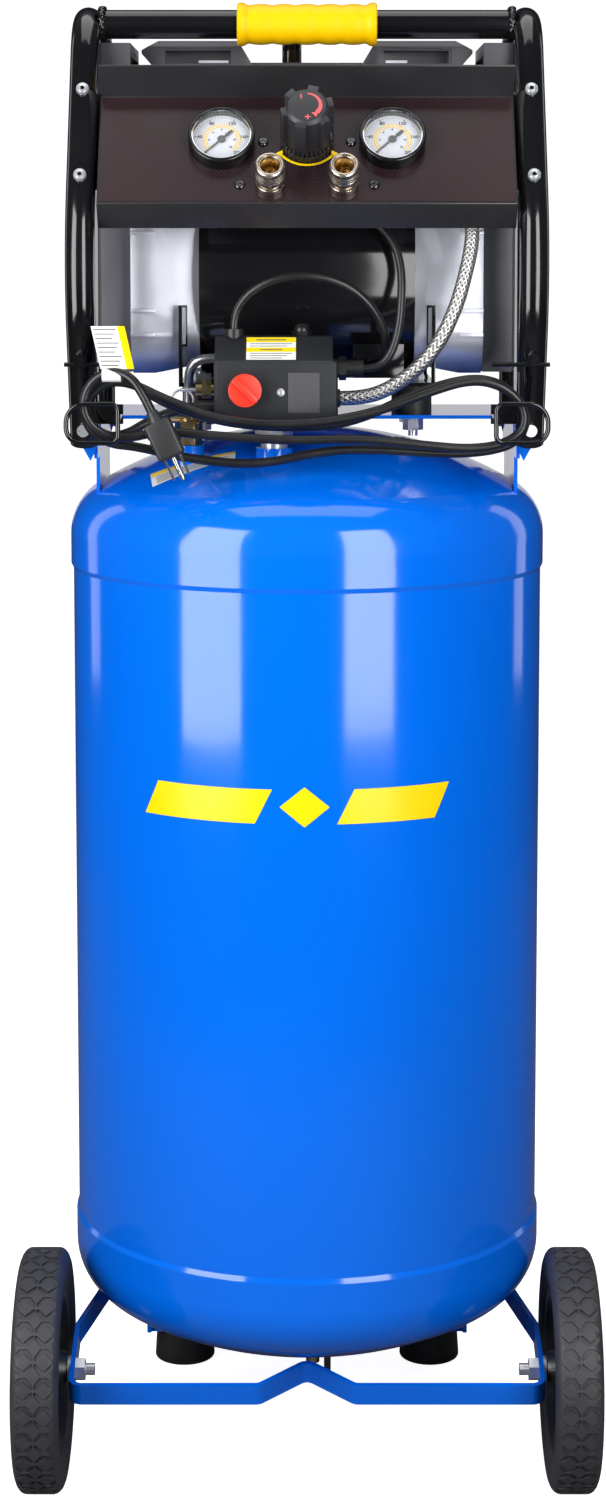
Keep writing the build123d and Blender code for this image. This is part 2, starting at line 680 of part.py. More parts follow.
def make_crankcases():
    """Cast end housings, each with a finned cylinder that stands on it."""
    outline = Polyline((-68, 936), (-68, 1115), (82, 1115), (82, 936), close=True)
    face = make_face(outline)
    face = fillet(face.vertices().group_by(Axis.Y)[0], 38)
    case = extrude(Plane.YZ.offset(MOTOR_HALF) * face, CASE_OUT - MOTOR_HALF)
    slope = Polyline((88, 930), (88, 945), (147, 932), (147, 930), close=True)
    case -= extrude(Plane.XZ.offset(-120) * make_face(slope), 240)
    case += block((92, 143), (-38, 48), (1114, 1150))
    for k in range(5):
        z = 1119 + 6.5 * k
        case += block((90.5, 145), (-46, 56), (z, z + 2.5))
    for z in (968, 988, 1052, 1072):
        case += block((126, CASE_OUT), (-71, -66), (z, z + 3))
    case -= block((98, 138), (-36, 46), (966, 1096))
    case -= rod((CASE_X, PUMP_Y, 1090), (0, 0, 1), BORE_R, 70)
    case -= rod((80, PUMP_Y, PUMP_Z), (1, 0, 0), SHAFT_R + 0.05, 80)
    save("crankcases", group(case, mirrored(case)))
    piston = rod((CASE_X, PUMP_Y, 1122), (0, 0, 1), BORE_R - 0.05, 12)
    piston += rod((CASE_X, PUMP_Y, 1064), (0, 0, 1), 7, 60)
    save("pistons", group(piston, mirrored(piston)))
    head = block((92, 143), (-38, 48), (1150, 1184)) + rod((112, 46, 1170), (0, 1, 0), 8, 14)
    for k in range(4):
        z = 1155 + 7 * k
        head += block((90.5, 145), (-44, 54), (z, z + 2.5))
    save("cylinder_heads", group(head, mirrored(head)))
    outline = Polyline(
        (46, 1184), (46, 1194), (58, 1214), (125, 1214), (139, 1206), (139, 1203), (131, 1194), (131, 1184), close=True
    )
    cover = extrude(Plane.XZ.offset(-62) * make_face(outline), 75)
    cover = chamfer(cover.edges().filter_by(Axis.X).group_by(Axis.Z)[-1].sort_by(Axis.Y)[0], 5)
    cover -= block((62, 121), (-14, -11.5), (1193, 1207))
    cover -= block((64, 119), (-14, 6), (1195, 1205.5))
    cover -= rod((44, PUMP_Y, 1190), (1, 0, 0), 5, 16)
    save("intake_covers", group(cover, mirrored(cover)))


def make_shrouds():
    """Moulded fan shrouds on both ends of the pump, open inside for the fans."""
    outline = Polyline((-52, 938), (-52, 1150), (-46, 1210), (72, 1210), (78, 1150), (78, 938), close=True)
    shroud = extrude(Plane.YZ.offset(CASE_OUT + 0.3) * make_face(outline), 27)
    shroud = chamfer(shroud.faces().sort_by(Axis.X)[-1].edges(), 2.5)
    shroud -= rod((CASE_OUT, PUMP_Y, PUMP_Z), (1, 0, 0), 53, 23)
    shroud -= block((CASE_OUT, 170), (-36, 62), (1090, 1200))
    for k in range(7):
        z = PUMP_Z - 36 + 12 * k
        reach = sqrt(48**2 - (z - PUMP_Z) ** 2)
        shroud -= block((165, 180), (PUMP_Y - reach, PUMP_Y + reach), (z - 3, z + 3))
    save("end_shrouds", group(shroud, mirrored(shroud)))


def make_brackets():
    """Pressed feet between the crankcases and the rubber isolators."""
    foot_top = DECK_TOP + ISOLATOR_HIGH + 3
    brackets = []
    for side in (-1, 1):
        plate = block((side * 72, side * 106), (-73, 94), (foot_top - 3, foot_top))
        for y in STUD_Y:
            plate -= rod((side * STUD_X, y, foot_top - 5), (0, 0, 1), 4, 8)
        front = block((side * 103, side * 106), (-80, -68.1), (foot_top - 3, 994))
        tie = block((side * 99, side * 106), (-71.5, -68.1), (960, 994))
        rear = block((side * 103, side * 106), (82.1, 94), (foot_top - 3, 994))
        rear_tie = block((side * 99, side * 106), (82.1, 85.5), (960, 994))
        brackets.append(plate + front + tie + rear + rear_tie - rod((-90, 5, 1018), (1, 0, 0), 88.2, 180))
    save("motor_brackets", group(*brackets))


# ---------------------------------------------------------------- switch and plumbing


def make_switch():
    """Two-slope cover box over the pressure switch, with a turning on/off knob."""
    low, high = SWITCH_Z
    section = Polyline(
        (SWITCH_FRONT, low), (SWITCH_FRONT, high), (SWITCH_FRONT + 26, SWITCH_CREST),
        (SWITCH_BACK, SWITCH_CREST), (SWITCH_BACK, low),
        close=True,
    )
    width = SWITCH_X[1] - SWITCH_X[0]
    cover = extrude(Plane.YZ.offset(SWITCH_X[0]) * make_face(section), width)
    cover = fillet(cover.edges().filter_by(Axis.X).group_by(Axis.Y)[0], 2.5)
    inner = block((SWITCH_X[0] + 3, SWITCH_X[1] - 3), (SWITCH_FRONT + 12, SWITCH_BACK - 3), (low - 1, 960))
    cover -= inner
    knob_x, knob_z = SWITCH_KNOB
    cover -= rod((knob_x, SWITCH_FRONT - 1, knob_z), (0, 1, 0), 5.05, 8)
    cover -= rod((-21, SWITCH_FRONT - 1, 926), (0, 1, 0), 2.5, 3)
    for z in (911, 941):
        cover -= block((-38, -33), (SWITCH_FRONT - 1, SWITCH_FRONT + 1.2), (z - 5, z + 5))
    for x, y, z, direction in ((-59, -112, 960, (0, 0, 1)), (-4, -100, 960, (0, 0, 1))):
        cover -= rod((x, y, z), direction, 6, 12)
    save("pressure_switch_cover", cover)
    knob = rod((knob_x, SWITCH_FRONT - 8.5, knob_z), (0, 1, 0), 13.3, 8.1)
    knob += rod((knob_x, SWITCH_FRONT - 1, knob_z), (0, 1, 0), 5, 6.5)
    grip = Pos(knob_x, SWITCH_FRONT - 10.5, knob_z) * Rot(0, 45, 0) * Box(25, 5, 5)
    save("switch_knob", knob + grip)
    base = block((-60, 6), (SWITCH_FRONT + 14, SWITCH_BACK - 6), (902.5, 912))
    body = block((-52, -2), (-124, -96), (912, 952))
    nipple = rod((-27, -108, 879), (0, 0, 1), 11, 24)
    cross = hexagon((-27, -108, 884), (0, 0, 1), 27, 12)
    save("switch_manifold", base + body + nipple + cross)
    cord_gland = rod((SWITCH_X[0], -124, 911), (-1, 0, 0), 7.5, 13.5)
    top_gland = rod((-59, -112, 959), (0, 0, 1), 6, 11) + rod((-59, -112, SWITCH_CREST), (0, 0, 1), 8, 6)
    dome_nut = rod((-4, -100, 959), (0, 0, 1), 6, 11) + hexagon((-4, -100, SWITCH_CREST), (0, 0, 1), 15, 4)
    dome_nut += Pos(-4, -100, SWITCH_CREST + 4) * Sphere(6.5)
    boot = rod((SWITCH_X[1], -112, 944), (1, 0, 0), 8, 5) + hexagon((25.8, -112, 944), (1, 0, 0), 17, 6)
    boot += rod((31.8, -112, 944), (1, 0, 0), 7, 14)
    hose_fitting = rod((SWITCH_X[1], -118, 920), (1, 0, 0), 7.4, 6)
    save("switch_glands", group(cord_gland, top_gland, dome_nut, boot, hose_fitting))


def make_plumbing():
    valve = hexagon((-98, -80, 879), (0, 0, 1), 20, 20) + rod((-98, -80, 899), (0, 0, 1), 7, 12)
    valve += rod((-98, -80, 904), (1, 0, 0), 6.5, 18) + hexagon((-83, -80, 904), (1, 0, 0), 14, 6)
    valve += rod((-98, -80, 904), (-1, 0, 0), 7, 18)
    save("check_valve", valve)
    unloader_points = [(-98, -80, 911), (-98, -80, 926), (-97, -86, 942), (-89, -90, 951), (-74.8, -90, 951)]
    unloader = pipe(unloader_points, 4, 2.5)
    save("unloader_tube", unloader)
    discharge_points = [
        (-77, -80, 904), (-66, -80, 904), (-60, -77, 911), (-60, -58, 912), (-60, 0, 909.5), (-60, 60, 909.5),
        (-60, 98, 911), (-60, 112, 928), (-60, 114, 970), (-60, 114, 1060), (-60, 112, 1130),
        (-64, 109, 1156), (-78, 102, 1167), (-97, 93, 1170), (-112, 79, 1170), (-112, 60.2, 1170),
    ]
    discharge = pipe(discharge_points, 4.8, 3.5)
    crossover = ring((-56, PUMP_Y, 1190), (1, 0, 0), 4.95, 3.5, 112)
    save("discharge_tubes", group(discharge, crossover))
    body = hexagon((-86, -104, 926), (1, 0, 0), 13, 8) + rod((-78, -104, 926), (1, 0, 0), 5, 3.4)
    body += rod((-91, -104, 926), (1, 0, 0), 5, 5)
    body -= rod((-92, -104, 926), (1, 0, 0), 1.55, 10)
    save("safety_valve", body)
    pull = rod((-103, -104, 926), (1, 0, 0), 1.5, 20) + Pos(-102, -104, 917) * Rot(90, 0, 0) * Torus(9, 1)
    save("safety_ring", pull)
    hose_points = [
        (26.8, -118, 920), (46, -118, 920), (68, -118.5, 928), (90, -120, 944), (108, -120, 966), (121, -118, 994),
        (129, -114, 1022), (134, -109, 1046), (134, -106, 1063), (122, -105.3, 1076.8), (104.3, -105.3, 1076.8),
    ]
    save("braided_hose", pipe(hose_points, 6, 3.5))
    arch = [
        (-59, -112, 976), (-59, -112, 988), (-48, -117, 1005), (-26, -121, 1017), (2, -122, 1020),
        (30, -120, 1013), (50, -115, 998), (62, -108, 978), (65, -100, 961), (62, -89, 948), (62, -74.3, 948),
    ]
    lead = [
        (45.8, -112, 944), (58, -112, 944), (69, -113, 956), (75, -113, 978), (77, -110, 1002),
        (77, -103, 1024), (72, -95, 1045), (61, -87, 1059), (47, -80, 1066), (38, -77, 1070), (38, -77, 1081.8),
    ]
    save("motor_cables", group(pipe(arch, 3.5), pipe(lead, 3.5)))


# ---------------------------------------------------------------- cord


def make_hooks():
    """Wire hooks on both front legs: a flat loop held off the tube by two arms."""
    loop_y = -178
    corners = [
        (170, loop_y, 888), (191, loop_y, 888), (191, loop_y, 919), (150, loop_y, 919), (150, loop_y, 888),
        (170.05, loop_y, 888),
    ]
    path = FilletPolyline(*corners, radius=[12, 15, 6, 6])
    wire = sweep(Plane(origin=path @ 0, z_dir=path % 0) * Circle(2), path=path)
    wire += rod((151, loop_y + 0.5, 907), (0, 1, 0), 2.4, 46)
    clamp_y = frame_centre(948) - TUBE_R - 2
    clamp = rod((149, clamp_y, 948), (1, 0, 0), 1.8, 47)
    clamp += block((171, 175), (clamp_y - 1, clamp_y + 1.5), (912, 950))
    clamp += block((148.5, 178), (clamp_y - 1, clamp_y + 1.5), (900, 916))
    clamp += hexagon((TUBE_X, clamp_y - 6, 952), (0, 1, 0), 10, 5) + rod((TUBE_X, clamp_y - 10, 952), (0, 1, 0), 3, 12)
    hook = wire + clamp
    trimmed = (hook - FRAMES["right"]).solids().sort_by(SortBy.VOLUME)
    keep = [solid for solid in trimmed if solid.volume > 200]
    save("cord_hooks", group(*keep, *[mirrored(solid) for solid in keep]))


def make_cord():
    path, radii = route(CORD_POINTS)
    cord = sweep(Plane(origin=path @ 0, z_dir=path % 0) * Circle(CORD_R), path=path)
    save("power_cord", cord)
    end = Vector(*CORD_POINTS[-1])
    plane = Plane(origin=end, x_dir=(15, 0, 7), z_dir=PLUG_DIRECTION)
    body = extrude(plane * Circle(5), 6)
    body += extrude(plane.offset(6) * RectangleRounded(22, 15, 4), 34)
    blades = []
    for x in (-6.35, 6.35):
        blades.append(extrude(plane.offset(39) * Pos(x, 3) * Rectangle(1.6, 6.3), 18))
    pin = extrude(plane.offset(39) * Pos(0, -4.5) * Circle(2.4), 21)
    plug = body + pin
    for blade in blades:
        plug += blade
    save("power_plug", plug)


def main():
    os.makedirs("parts", exist_ok=True)
    make_tank()
    make_drain()
    make_strap()
    make_wheels()
    make_feet()
    make_deck()
    make_isolators()
    make_frames()
    make_panel()
    make_label()
    make_regulator()
    make_gauges()
    make_couplers()
    make_motor()
    make_crankcases()
    make_shrouds()
    make_brackets()
    make_switch()
    make_plumbing()
    make_hooks()
    make_cord()


main()
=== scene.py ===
import bpy
import json
from math import atan2, cos, pi, radians, sin
from mathutils import Matrix, Vector

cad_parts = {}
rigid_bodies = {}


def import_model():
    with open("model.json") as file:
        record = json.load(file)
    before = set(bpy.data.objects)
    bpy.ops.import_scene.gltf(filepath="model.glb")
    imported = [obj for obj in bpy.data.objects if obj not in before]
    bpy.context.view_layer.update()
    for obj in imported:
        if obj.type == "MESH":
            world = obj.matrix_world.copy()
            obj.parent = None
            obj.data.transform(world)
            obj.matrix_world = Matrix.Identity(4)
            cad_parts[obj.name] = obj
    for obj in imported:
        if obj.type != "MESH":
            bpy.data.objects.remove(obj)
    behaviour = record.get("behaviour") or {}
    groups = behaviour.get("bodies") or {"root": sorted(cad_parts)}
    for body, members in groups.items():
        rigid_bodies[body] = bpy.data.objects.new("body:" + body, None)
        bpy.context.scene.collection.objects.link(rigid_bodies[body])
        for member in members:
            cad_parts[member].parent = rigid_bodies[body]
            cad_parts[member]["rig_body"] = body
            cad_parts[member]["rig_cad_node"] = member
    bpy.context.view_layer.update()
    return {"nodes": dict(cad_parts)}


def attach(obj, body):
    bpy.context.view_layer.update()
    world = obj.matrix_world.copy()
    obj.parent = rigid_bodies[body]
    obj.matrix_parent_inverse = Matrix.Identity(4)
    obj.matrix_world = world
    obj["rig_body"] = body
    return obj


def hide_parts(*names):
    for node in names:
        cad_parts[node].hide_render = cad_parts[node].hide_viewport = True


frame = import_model()

# ---- Camera, floor and lights
# A plain white sweep, two tall soft boxes in front, a wide one above and dim ones behind.
# The camera stands level with the control panel and looks slightly down.

scene = bpy.context.scene
scene.view_settings.view_transform = "Standard"
lens = bpy.data.cameras.new("camera")
lens.lens = 67.42
lens.shift_x = -0.0027
lens.shift_y = -0.1498
camera = bpy.data.objects.new("camera", lens)
camera.location = (0, -2.3917, 1.0598)
camera.rotation_euler = (radians(90 - 6.097), 0, 0)
scene.collection.objects.link(camera)
scene.camera = camera

world = bpy.data.worlds.new("studio")
world.use_nodes = True
sky = world.node_tree
for_eye = sky.nodes["Background"]
for_eye.inputs["Color"].default_value = (1, 1, 1, 1)
for_eye.inputs["Strength"].default_value = 1.0
for_rest = sky.nodes.new("ShaderNodeBackground")
for_rest.inputs["Color"].default_value = (0.82, 0.9, 1.0, 1)
for_rest.inputs["Strength"].default_value = 0.10
ray = sky.nodes.new("ShaderNodeLightPath")
either = sky.nodes.new("ShaderNodeMixShader")
sky.links.new(ray.outputs["Is Camera Ray"], either.inputs[0])
sky.links.new(for_rest.outputs[0], either.inputs[1])
sky.links.new(for_eye.outputs[0], either.inputs[2])
sky.links.new(either.outputs[0], sky.nodes["World Output"].inputs["Surface"])
scene.world = world


def soft_box(name, place, aim, width, height, power):
    """A rectangular light that faces a point."""
    data = bpy.data.lights.new(name, "AREA")
    data.shape = "RECTANGLE"
    data.size = width
    data.size_y = height
    data.energy = power
    box = bpy.data.objects.new(name, data)
    box.location = place
    way = Vector(aim) - Vector(place)
    box.rotation_euler = way.to_track_quat("-Z", "Y").to_euler()
    box.visible_camera = False
    scene.collection.objects.link(box)


soft_box("box_behind", (0, 2.6, 1.15), (0, 0, 1.0), 1.8, 1.1, 4)
soft_box("box_left", (-1.08, -1.10, 1.20), (0, 0, 1.20), 0.80, 1.62, 30)
soft_box("box_right", (0.72, -1.34, 1.21), (0, 0, 1.21), 0.62, 1.60, 24)
soft_box("box_top", (0, 0.1, 2.7), (0, 0, 0), 1.6, 1.6, 16)
soft_box("box_back_left", (-1.9, 1.2, 1.2), (0, 0, 0.8), 0.4, 1.8, 3)
soft_box("box_back_right", (1.9, 1.2, 1.2), (0, 0, 0.8), 0.4, 1.8, 3)

bpy.ops.object.select_all(action="DESELECT")
bpy.ops.mesh.primitive_plane_add(size=12, location=(0, -1.5, 0))
floor = bpy.context.active_object
floor.name = "floor"
bpy.ops.object.mode_set(mode="EDIT")
bpy.ops.mesh.select_all(action="DESELECT")
bpy.ops.object.mode_set(mode="OBJECT")
for edge in floor.data.edges:
    edge.select = all(floor.data.vertices[v].co.y > 5 for v in edge.vertices)
bpy.ops.object.mode_set(mode="EDIT")
bpy.ops.mesh.select_mode(type="EDGE")
bpy.ops.mesh.extrude_region_move(TRANSFORM_OT_translate={"value": (0, 0.4, 5)})
bpy.ops.object.mode_set(mode="OBJECT")
sweep = floor.modifiers.new("sweep", "BEVEL")
sweep.width = 1.6
sweep.segments = 12
bpy.ops.object.modifier_apply(modifier="sweep")
bpy.ops.object.shade_smooth()
bpy.ops.object.transform_apply(location=True, rotation=True, scale=True)
floor_mat = bpy.data.materials.new("floor_paper")
floor_mat.use_nodes = True
paper = floor_mat.node_tree
paper.nodes["Principled BSDF"].inputs["Roughness"].default_value = 0.9
paper.nodes["Principled BSDF"].inputs["Emission Color"].default_value = (1, 1, 1, 1)
paper.nodes["Principled BSDF"].inputs["Emission Strength"].default_value = 0.9
dim = paper.nodes.new("ShaderNodeBsdfDiffuse")
dim.inputs["Color"].default_value = (0.16, 0.16, 0.17, 1)
eye = paper.nodes.new("ShaderNodeLightPath")
pick = paper.nodes.new("ShaderNodeMixShader")
paper.links.new(eye.outputs["Is Camera Ray"], pick.inputs[0])
paper.links.new(dim.outputs[0], pick.inputs[1])
paper.links.new(paper.nodes["Principled BSDF"].outputs[0], pick.inputs[2])
paper.links.new(pick.outputs[0], paper.nodes["Material Output"].inputs["Surface"])
fibre = paper.nodes.new("ShaderNodeTexNoise")
fibre.inputs["Scale"].default_value = 3
fibre_tone = paper.nodes.new("ShaderNodeMix")
fibre_tone.data_type = "RGBA"
fibre_tone.inputs[6].default_value = (0.86, 0.86, 0.87, 1)
fibre_tone.inputs[7].default_value = (0.9, 0.9, 0.9, 1)
paper.links.new(fibre.outputs[0], fibre_tone.inputs[0])
paper.links.new(fibre_tone.outputs[2], paper.nodes["Principled BSDF"].inputs["Base Color"])
floor.data.materials.append(floor_mat)

# ---- Power cord, its relief and its plug
# Black vinyl mains lead wound over the two wire hooks. It leaves a tapered rubber relief
# on the switch and ends in a moulded three-pin plug.


def finish(
    name, base, dark, rough, metal=0.0, tone_scale=14.0, grain=600.0, bump=0.15, depth=0.0002, spread=0.1
):
    """A surface whose tone and gloss wander, with a fine grain in its relief."""
    mat = bpy.data.materials.new(name)
    mat.use_nodes = True
    tree = mat.node_tree
    shader = tree.nodes["Principled BSDF"]
    shader.inputs["Metallic"].default_value = metal
    where = tree.nodes.new("ShaderNodeTexCoord")
    tone = tree.nodes.new("ShaderNodeTexNoise")
    tone.inputs["Scale"].default_value = tone_scale
    tone.inputs["Detail"].default_value = 5
    tint = tree.nodes.new("ShaderNodeMix")
    tint.name = "tint"
    tint.data_type = "RGBA"
    tint.inputs[6].default_value = (*dark, 1)
    tint.inputs[7].default_value = (*base, 1)
    fine = tree.nodes.new("ShaderNodeTexNoise")
    fine.inputs["Scale"].default_value = grain
    fine.inputs["Detail"].default_value = 3
    gloss = tree.nodes.new("ShaderNodeMapRange")
    gloss.inputs["From Min"].default_value = 0.3
    gloss.inputs["From Max"].default_value = 0.7
    gloss.inputs["To Min"].default_value = max(0.02, rough - spread / 2)
    gloss.inputs["To Max"].default_value = min(1.0, rough + spread / 2)
    relief = tree.nodes.new("ShaderNodeBump")
    relief.inputs["Strength"].default_value = bump
    relief.inputs["Distance"].default_value = depth
    link = tree.links.new
    link(where.outputs["Object"], tone.inputs["Vector"])
    link(where.outputs["Object"], fine.inputs["Vector"])
    link(tone.outputs[0], tint.inputs[0])
    link(tint.outputs[2], shader.inputs["Base Color"])
    link(tone.outputs[0], gloss.inputs["Value"])
    link(gloss.outputs[0], shader.inputs["Roughness"])
    link(fine.outputs[0], relief.inputs["Height"])
    link(relief.outputs[0], shader.inputs["Normal"])
    return mat


def dress(material, *names):
    """Give CAD nodes a material."""
    for name in names:
        mesh = frame["nodes"][name].data
        mesh.materials.clear()
        mesh.materials.append(material)


def settle(piece, name, material, body="machine", stands_for=()):
    """Name a finished piece, put its place in its mesh, and tie it to its body."""
    bpy.ops.object.select_all(action="DESELECT")
    piece.select_set(True)
    bpy.context.view_layer.objects.active = piece
    bpy.ops.object.transform_apply(location=True, rotation=True, scale=True)
    piece.name = name
    if material:
        piece.data.materials.clear()
        piece.data.materials.append(material)
    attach(piece, body)
    if stands_for:
        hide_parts(*stands_for)
    return piece


def apply_all(piece):
    """Apply every modifier of a piece, top to bottom."""
    bpy.ops.object.select_all(action="DESELECT")
    piece.select_set(True)
    bpy.context.view_layer.objects.active = piece
    for name in [modifier.name for modifier in piece.modifiers]:
        bpy.ops.object.modifier_apply(modifier=name)


def cut(piece, tool, way="DIFFERENCE"):
    """Boolean a tool with a piece and throw the tool away."""
    step = piece.modifiers.new("cut", "BOOLEAN")
    step.operation = way
    step.object = tool
    step.solver = "EXACT"
    apply_all(piece)
    bpy.data.objects.remove(tool)
    return piece


def round_edges(piece, width, segments=2, angle=30, smooth=35):
    """Bevel the sharp edges of a piece and shade it smooth between them."""
    ease = piece.modifiers.new("ease", "BEVEL")
    ease.width = width
    ease.segments = segments
    ease.limit_method = "ANGLE"
    ease.angle_limit = radians(angle)
    apply_all(piece)
    bpy.ops.object.shade_smooth_by_angle(angle=radians(smooth))
    return piece


def join(pieces):
    """Make several meshes one piece."""
    bpy.ops.object.select_all(action="DESELECT")
    for piece in pieces:
        piece.select_set(True)
    bpy.context.view_layer.objects.active = pieces[0]
    if len(pieces) > 1:
        bpy.ops.object.join()
    return bpy.context.active_object


def block(x, y, z):
    """A box between three pairs of limits, in millimetres."""
    bpy.ops.object.select_all(action="DESELECT")
    middle = [(a[0] + a[1]) / 2000 for a in (x, y, z)]
    bpy.ops.mesh.primitive_cube_add(size=1, location=middle)
    cube = bpy.context.active_object
    cube.scale = [abs(a[1] - a[0]) / 1000 for a in (x, y, z)]
    bpy.ops.object.transform_apply(location=True, rotation=True, scale=True)
    return cube


def bar(start, way, radius, length, sides=32):
    """A round or many-sided bar from a point along a direction, in millimetres."""
    bpy.ops.object.select_all(action="DESELECT")
    way = Vector(way).normalized()
    middle = (Vector(start) + way * (length / 2)) / 1000
    bpy.ops.mesh.primitive_cylinder_add(
        vertices=sides, radius=radius / 1000, depth=abs(length) / 1000, location=middle
    )
    rod = bpy.context.active_object
    rod.rotation_euler = way.to_track_quat("Z", "Y").to_euler()
    bpy.ops.object.transform_apply(location=True, rotation=True, scale=True)
    return rod


def turned(profile, start, way, sides=48):
    """A lathe-turned piece. The profile is (radius, distance) pairs along the axis, in millimetres."""
    bpy.ops.object.select_all(action="DESELECT")
    bpy.ops.mesh.primitive_plane_add(size=0.001)
    piece = bpy.context.active_object
    bpy.ops.object.mode_set(mode="EDIT")
    bpy.ops.mesh.merge(type="CENTER")
    bpy.ops.mesh.select_mode(type="VERT")
    bpy.ops.mesh.select_all(action="SELECT")
    here = (0.0, 0.0)
    for k, (radius, height) in enumerate(profile):
        step = ((radius - here[0]) / 1000, 0, (height - here[1]) / 1000)
        if k:
            bpy.ops.mesh.extrude_region_move(TRANSFORM_OT_translate={"value": step})
        else:
            bpy.ops.transform.translate(value=step)
        here = (radius, height)
    bpy.ops.mesh.select_all(action="SELECT")
    bpy.ops.mesh.spin(steps=sides, angle=2 * pi, center=(0, 0, 0), axis=(0, 0, 1))
    bpy.ops.mesh.select_all(action="SELECT")
    bpy.ops.mesh.remove_doubles(threshold=0.000005)
    bpy.ops.mesh.normals_make_consistent(inside=False)
    bpy.ops.object.mode_set(mode="OBJECT")
    piece.rotation_euler = Vector(way).normalized().to_track_quat("Z", "Y").to_euler()
    piece.location = Vector(start) / 1000
    bpy.ops.object.transform_apply(location=True, rotation=True, scale=True)
    bpy.ops.object.shade_smooth_by_angle(angle=radians(32))
    return piece


vinyl = finish(
    "cord_vinyl", (0.012, 0.012, 0.013), (0.005, 0.005, 0.006), 0.33, tone_scale=40, grain=900, bump=0.1
)
cord_route = [
    (-88, -116, 911), (-106, -116, 911), (-127, -121, 903), (-147, -128, 891), (-166, -132, 890),
    (-177, -134, 904), (-176, -136, 924), (-161, -139, 938), (-141, -140, 935), (-112, -142, 916),
    (-62, -143, 901), (-4, -143, 898), (40, -143, 903), (86, -143, 926), (126, -142, 938), (151, -141, 936),
    (168, -141, 923), (177, -141, 905), (170, -142, 888), (151, -143, 880), (116, -144, 877), (62, -146, 881),
    (16, -148, 881), (-40, -149, 868), (-96, -150, 874), (-136, -151, 884), (-159, -152, 886),
    (-176, -152, 899), (-177, -153, 919), (-163, -153, 935), (-142, -153, 936), (-112, -154, 921),
    (-66, -154, 904), (-6, -154, 901), (52, -154, 910), (98, -154, 928), (132, -153, 938), (157, -153, 932),
    (173, -153, 917), (174, -154, 898), (158, -155, 886), (130, -156, 882), (96, -157, 885), (42, -158, 891),
    (-16, -159, 889), (-72, -160, 893), (-118, -160, 897), (-146, -160, 890), (-168, -160, 896),
    (-179, -161, 914), (-174, -162, 934), (-158, -164, 945), (-141, -168, 942), (-130, -172, 928),
    (-123, -173, 913),
]
line = bpy.data.curves.new("power_cord_line", "CURVE")
line.dimensions = "3D"
run = line.splines.new("NURBS")
run.points.add(len(cord_route) - 1)
for point, (x, y, z) in zip(run.points, cord_route):
    point.co = (x / 1000, y / 1000, z / 1000, 1)
run.order_u = 3
run.use_endpoint_u = True
run.resolution_u = 8
line.bevel_depth = 0.00375
line.bevel_resolution = 6
line.use_fill_caps = True
lead = bpy.data.objects.new("power_cord_lead", line)
scene.collection.objects.link(lead)
line.materials.append(vinyl)
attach(lead, "machine")
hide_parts("power_cord")

relief_shape = [(0, 0), (7.4, 0), (7.4, 2.5)]
for k in range(5):
    ridge = 6.6 - 0.4 * k
    waist = 5.4 - 0.25 * k
    start = 3 + 3.4 * k
    relief_shape += [(ridge, start), (ridge, 2 + start), (waist, 2.3 + start), (waist, 3.2 + start)]
relief_shape += [(4.1, 21.5), (0, 21.5)]
relief_rubber = finish("relief_rubber", (0.014, 0.014, 0.015), (0.007, 0.007, 0.007), 0.5, grain=800)
cord_relief = turned(relief_shape, (-86.5, -116, 911), (-1, 0, 0), 32)
settle(cord_relief, "cord_relief", relief_rubber)

plug_out = Vector((7, -1, -15)).normalized()
plug_side = Vector((15, 0, 7)).normalized()
plug_up = plug_out.cross(plug_side)
plug_frame = Matrix((plug_side, plug_up, plug_out)).transposed().to_4x4()
plug_frame.translation = Vector((-0.123, -0.173, 0.913))


def to_plug(piece):
    """Carry a piece drawn along +Z onto the end of the cord."""
    piece.data.transform(plug_frame)
    return piece


plug_body = round_edges(block((-11, 11), (-7.5, 7.5), (8, 40)), 0.003, 4)
plug_neck = turned([(0, 0), (4.6, 0), (5.6, 5), (6.6, 8), (7, 12), (0, 12)], (0, 0, 0), (0, 0, 1), 32)
ridges = []
for k in range(4):
    ridges.append(round_edges(block((-11.6, 11.6), (-7.2, 7.2), (14 + 4 * k, 15.6 + 4 * k)), 0.0006, 1))
plug_rubber = finish("plug_rubber", (0.02, 0.02, 0.022), (0.011, 0.011, 0.012), 0.42, grain=900)
plug_shell = to_plug(join([plug_body, plug_neck] + ridges))
settle(plug_shell, "plug_shell", plug_rubber, stands_for=("power_plug",))
blades = []
for x in (-6.35, 6.35):
    blade = block((x - 0.8, x + 0.8), (-0.2, 6.1), (39, 57))
    blades.append(round_edges(cut(blade, bar((x - 3, 3, 53), (1, 0, 0), 1.5, 6)), 0.0004, 1))
pin = turned([(0, 0), (2.3, 0), (2.3, 18), (1.4, 20.5), (0, 21)], (0, -4.5, 39), (0, 0, 1), 24)
pin_metal = finish(
    "pin_metal", (0.78, 0.77, 0.74), (0.6, 0.59, 0.57), 0.22, metal=1.0, grain=500, bump=0.05
)
plug_pins = settle(to_plug(join(blades + [pin])), "plug_pins", pin_metal, stands_for=("power_plug",))

# ---- Tank
# Rolled steel shell with two pressed heads lapped over it and welded round the seams.
# One glossy blue powder coat covers it, the ports, the deck, the foot bracket and the strap.

blue = finish(
    "tank_blue", (0.0, 0.146, 0.80), (0.0, 0.136, 0.74), 0.11,
    tone_scale=5, grain=140, bump=0.05, depth=0.0004, spread=0.05
)
blue.node_tree.nodes["Principled BSDF"].inputs["Coat Weight"].default_value = 0.15
blue.node_tree.nodes["Principled BSDF"].inputs["Coat Roughness"].default_value = 0.04
dress(blue, "tank_shell", "tank_head_top", "tank_head_bottom", "tank_ports")
dress(blue, "deck", "foot_bracket", "wheel_strap")


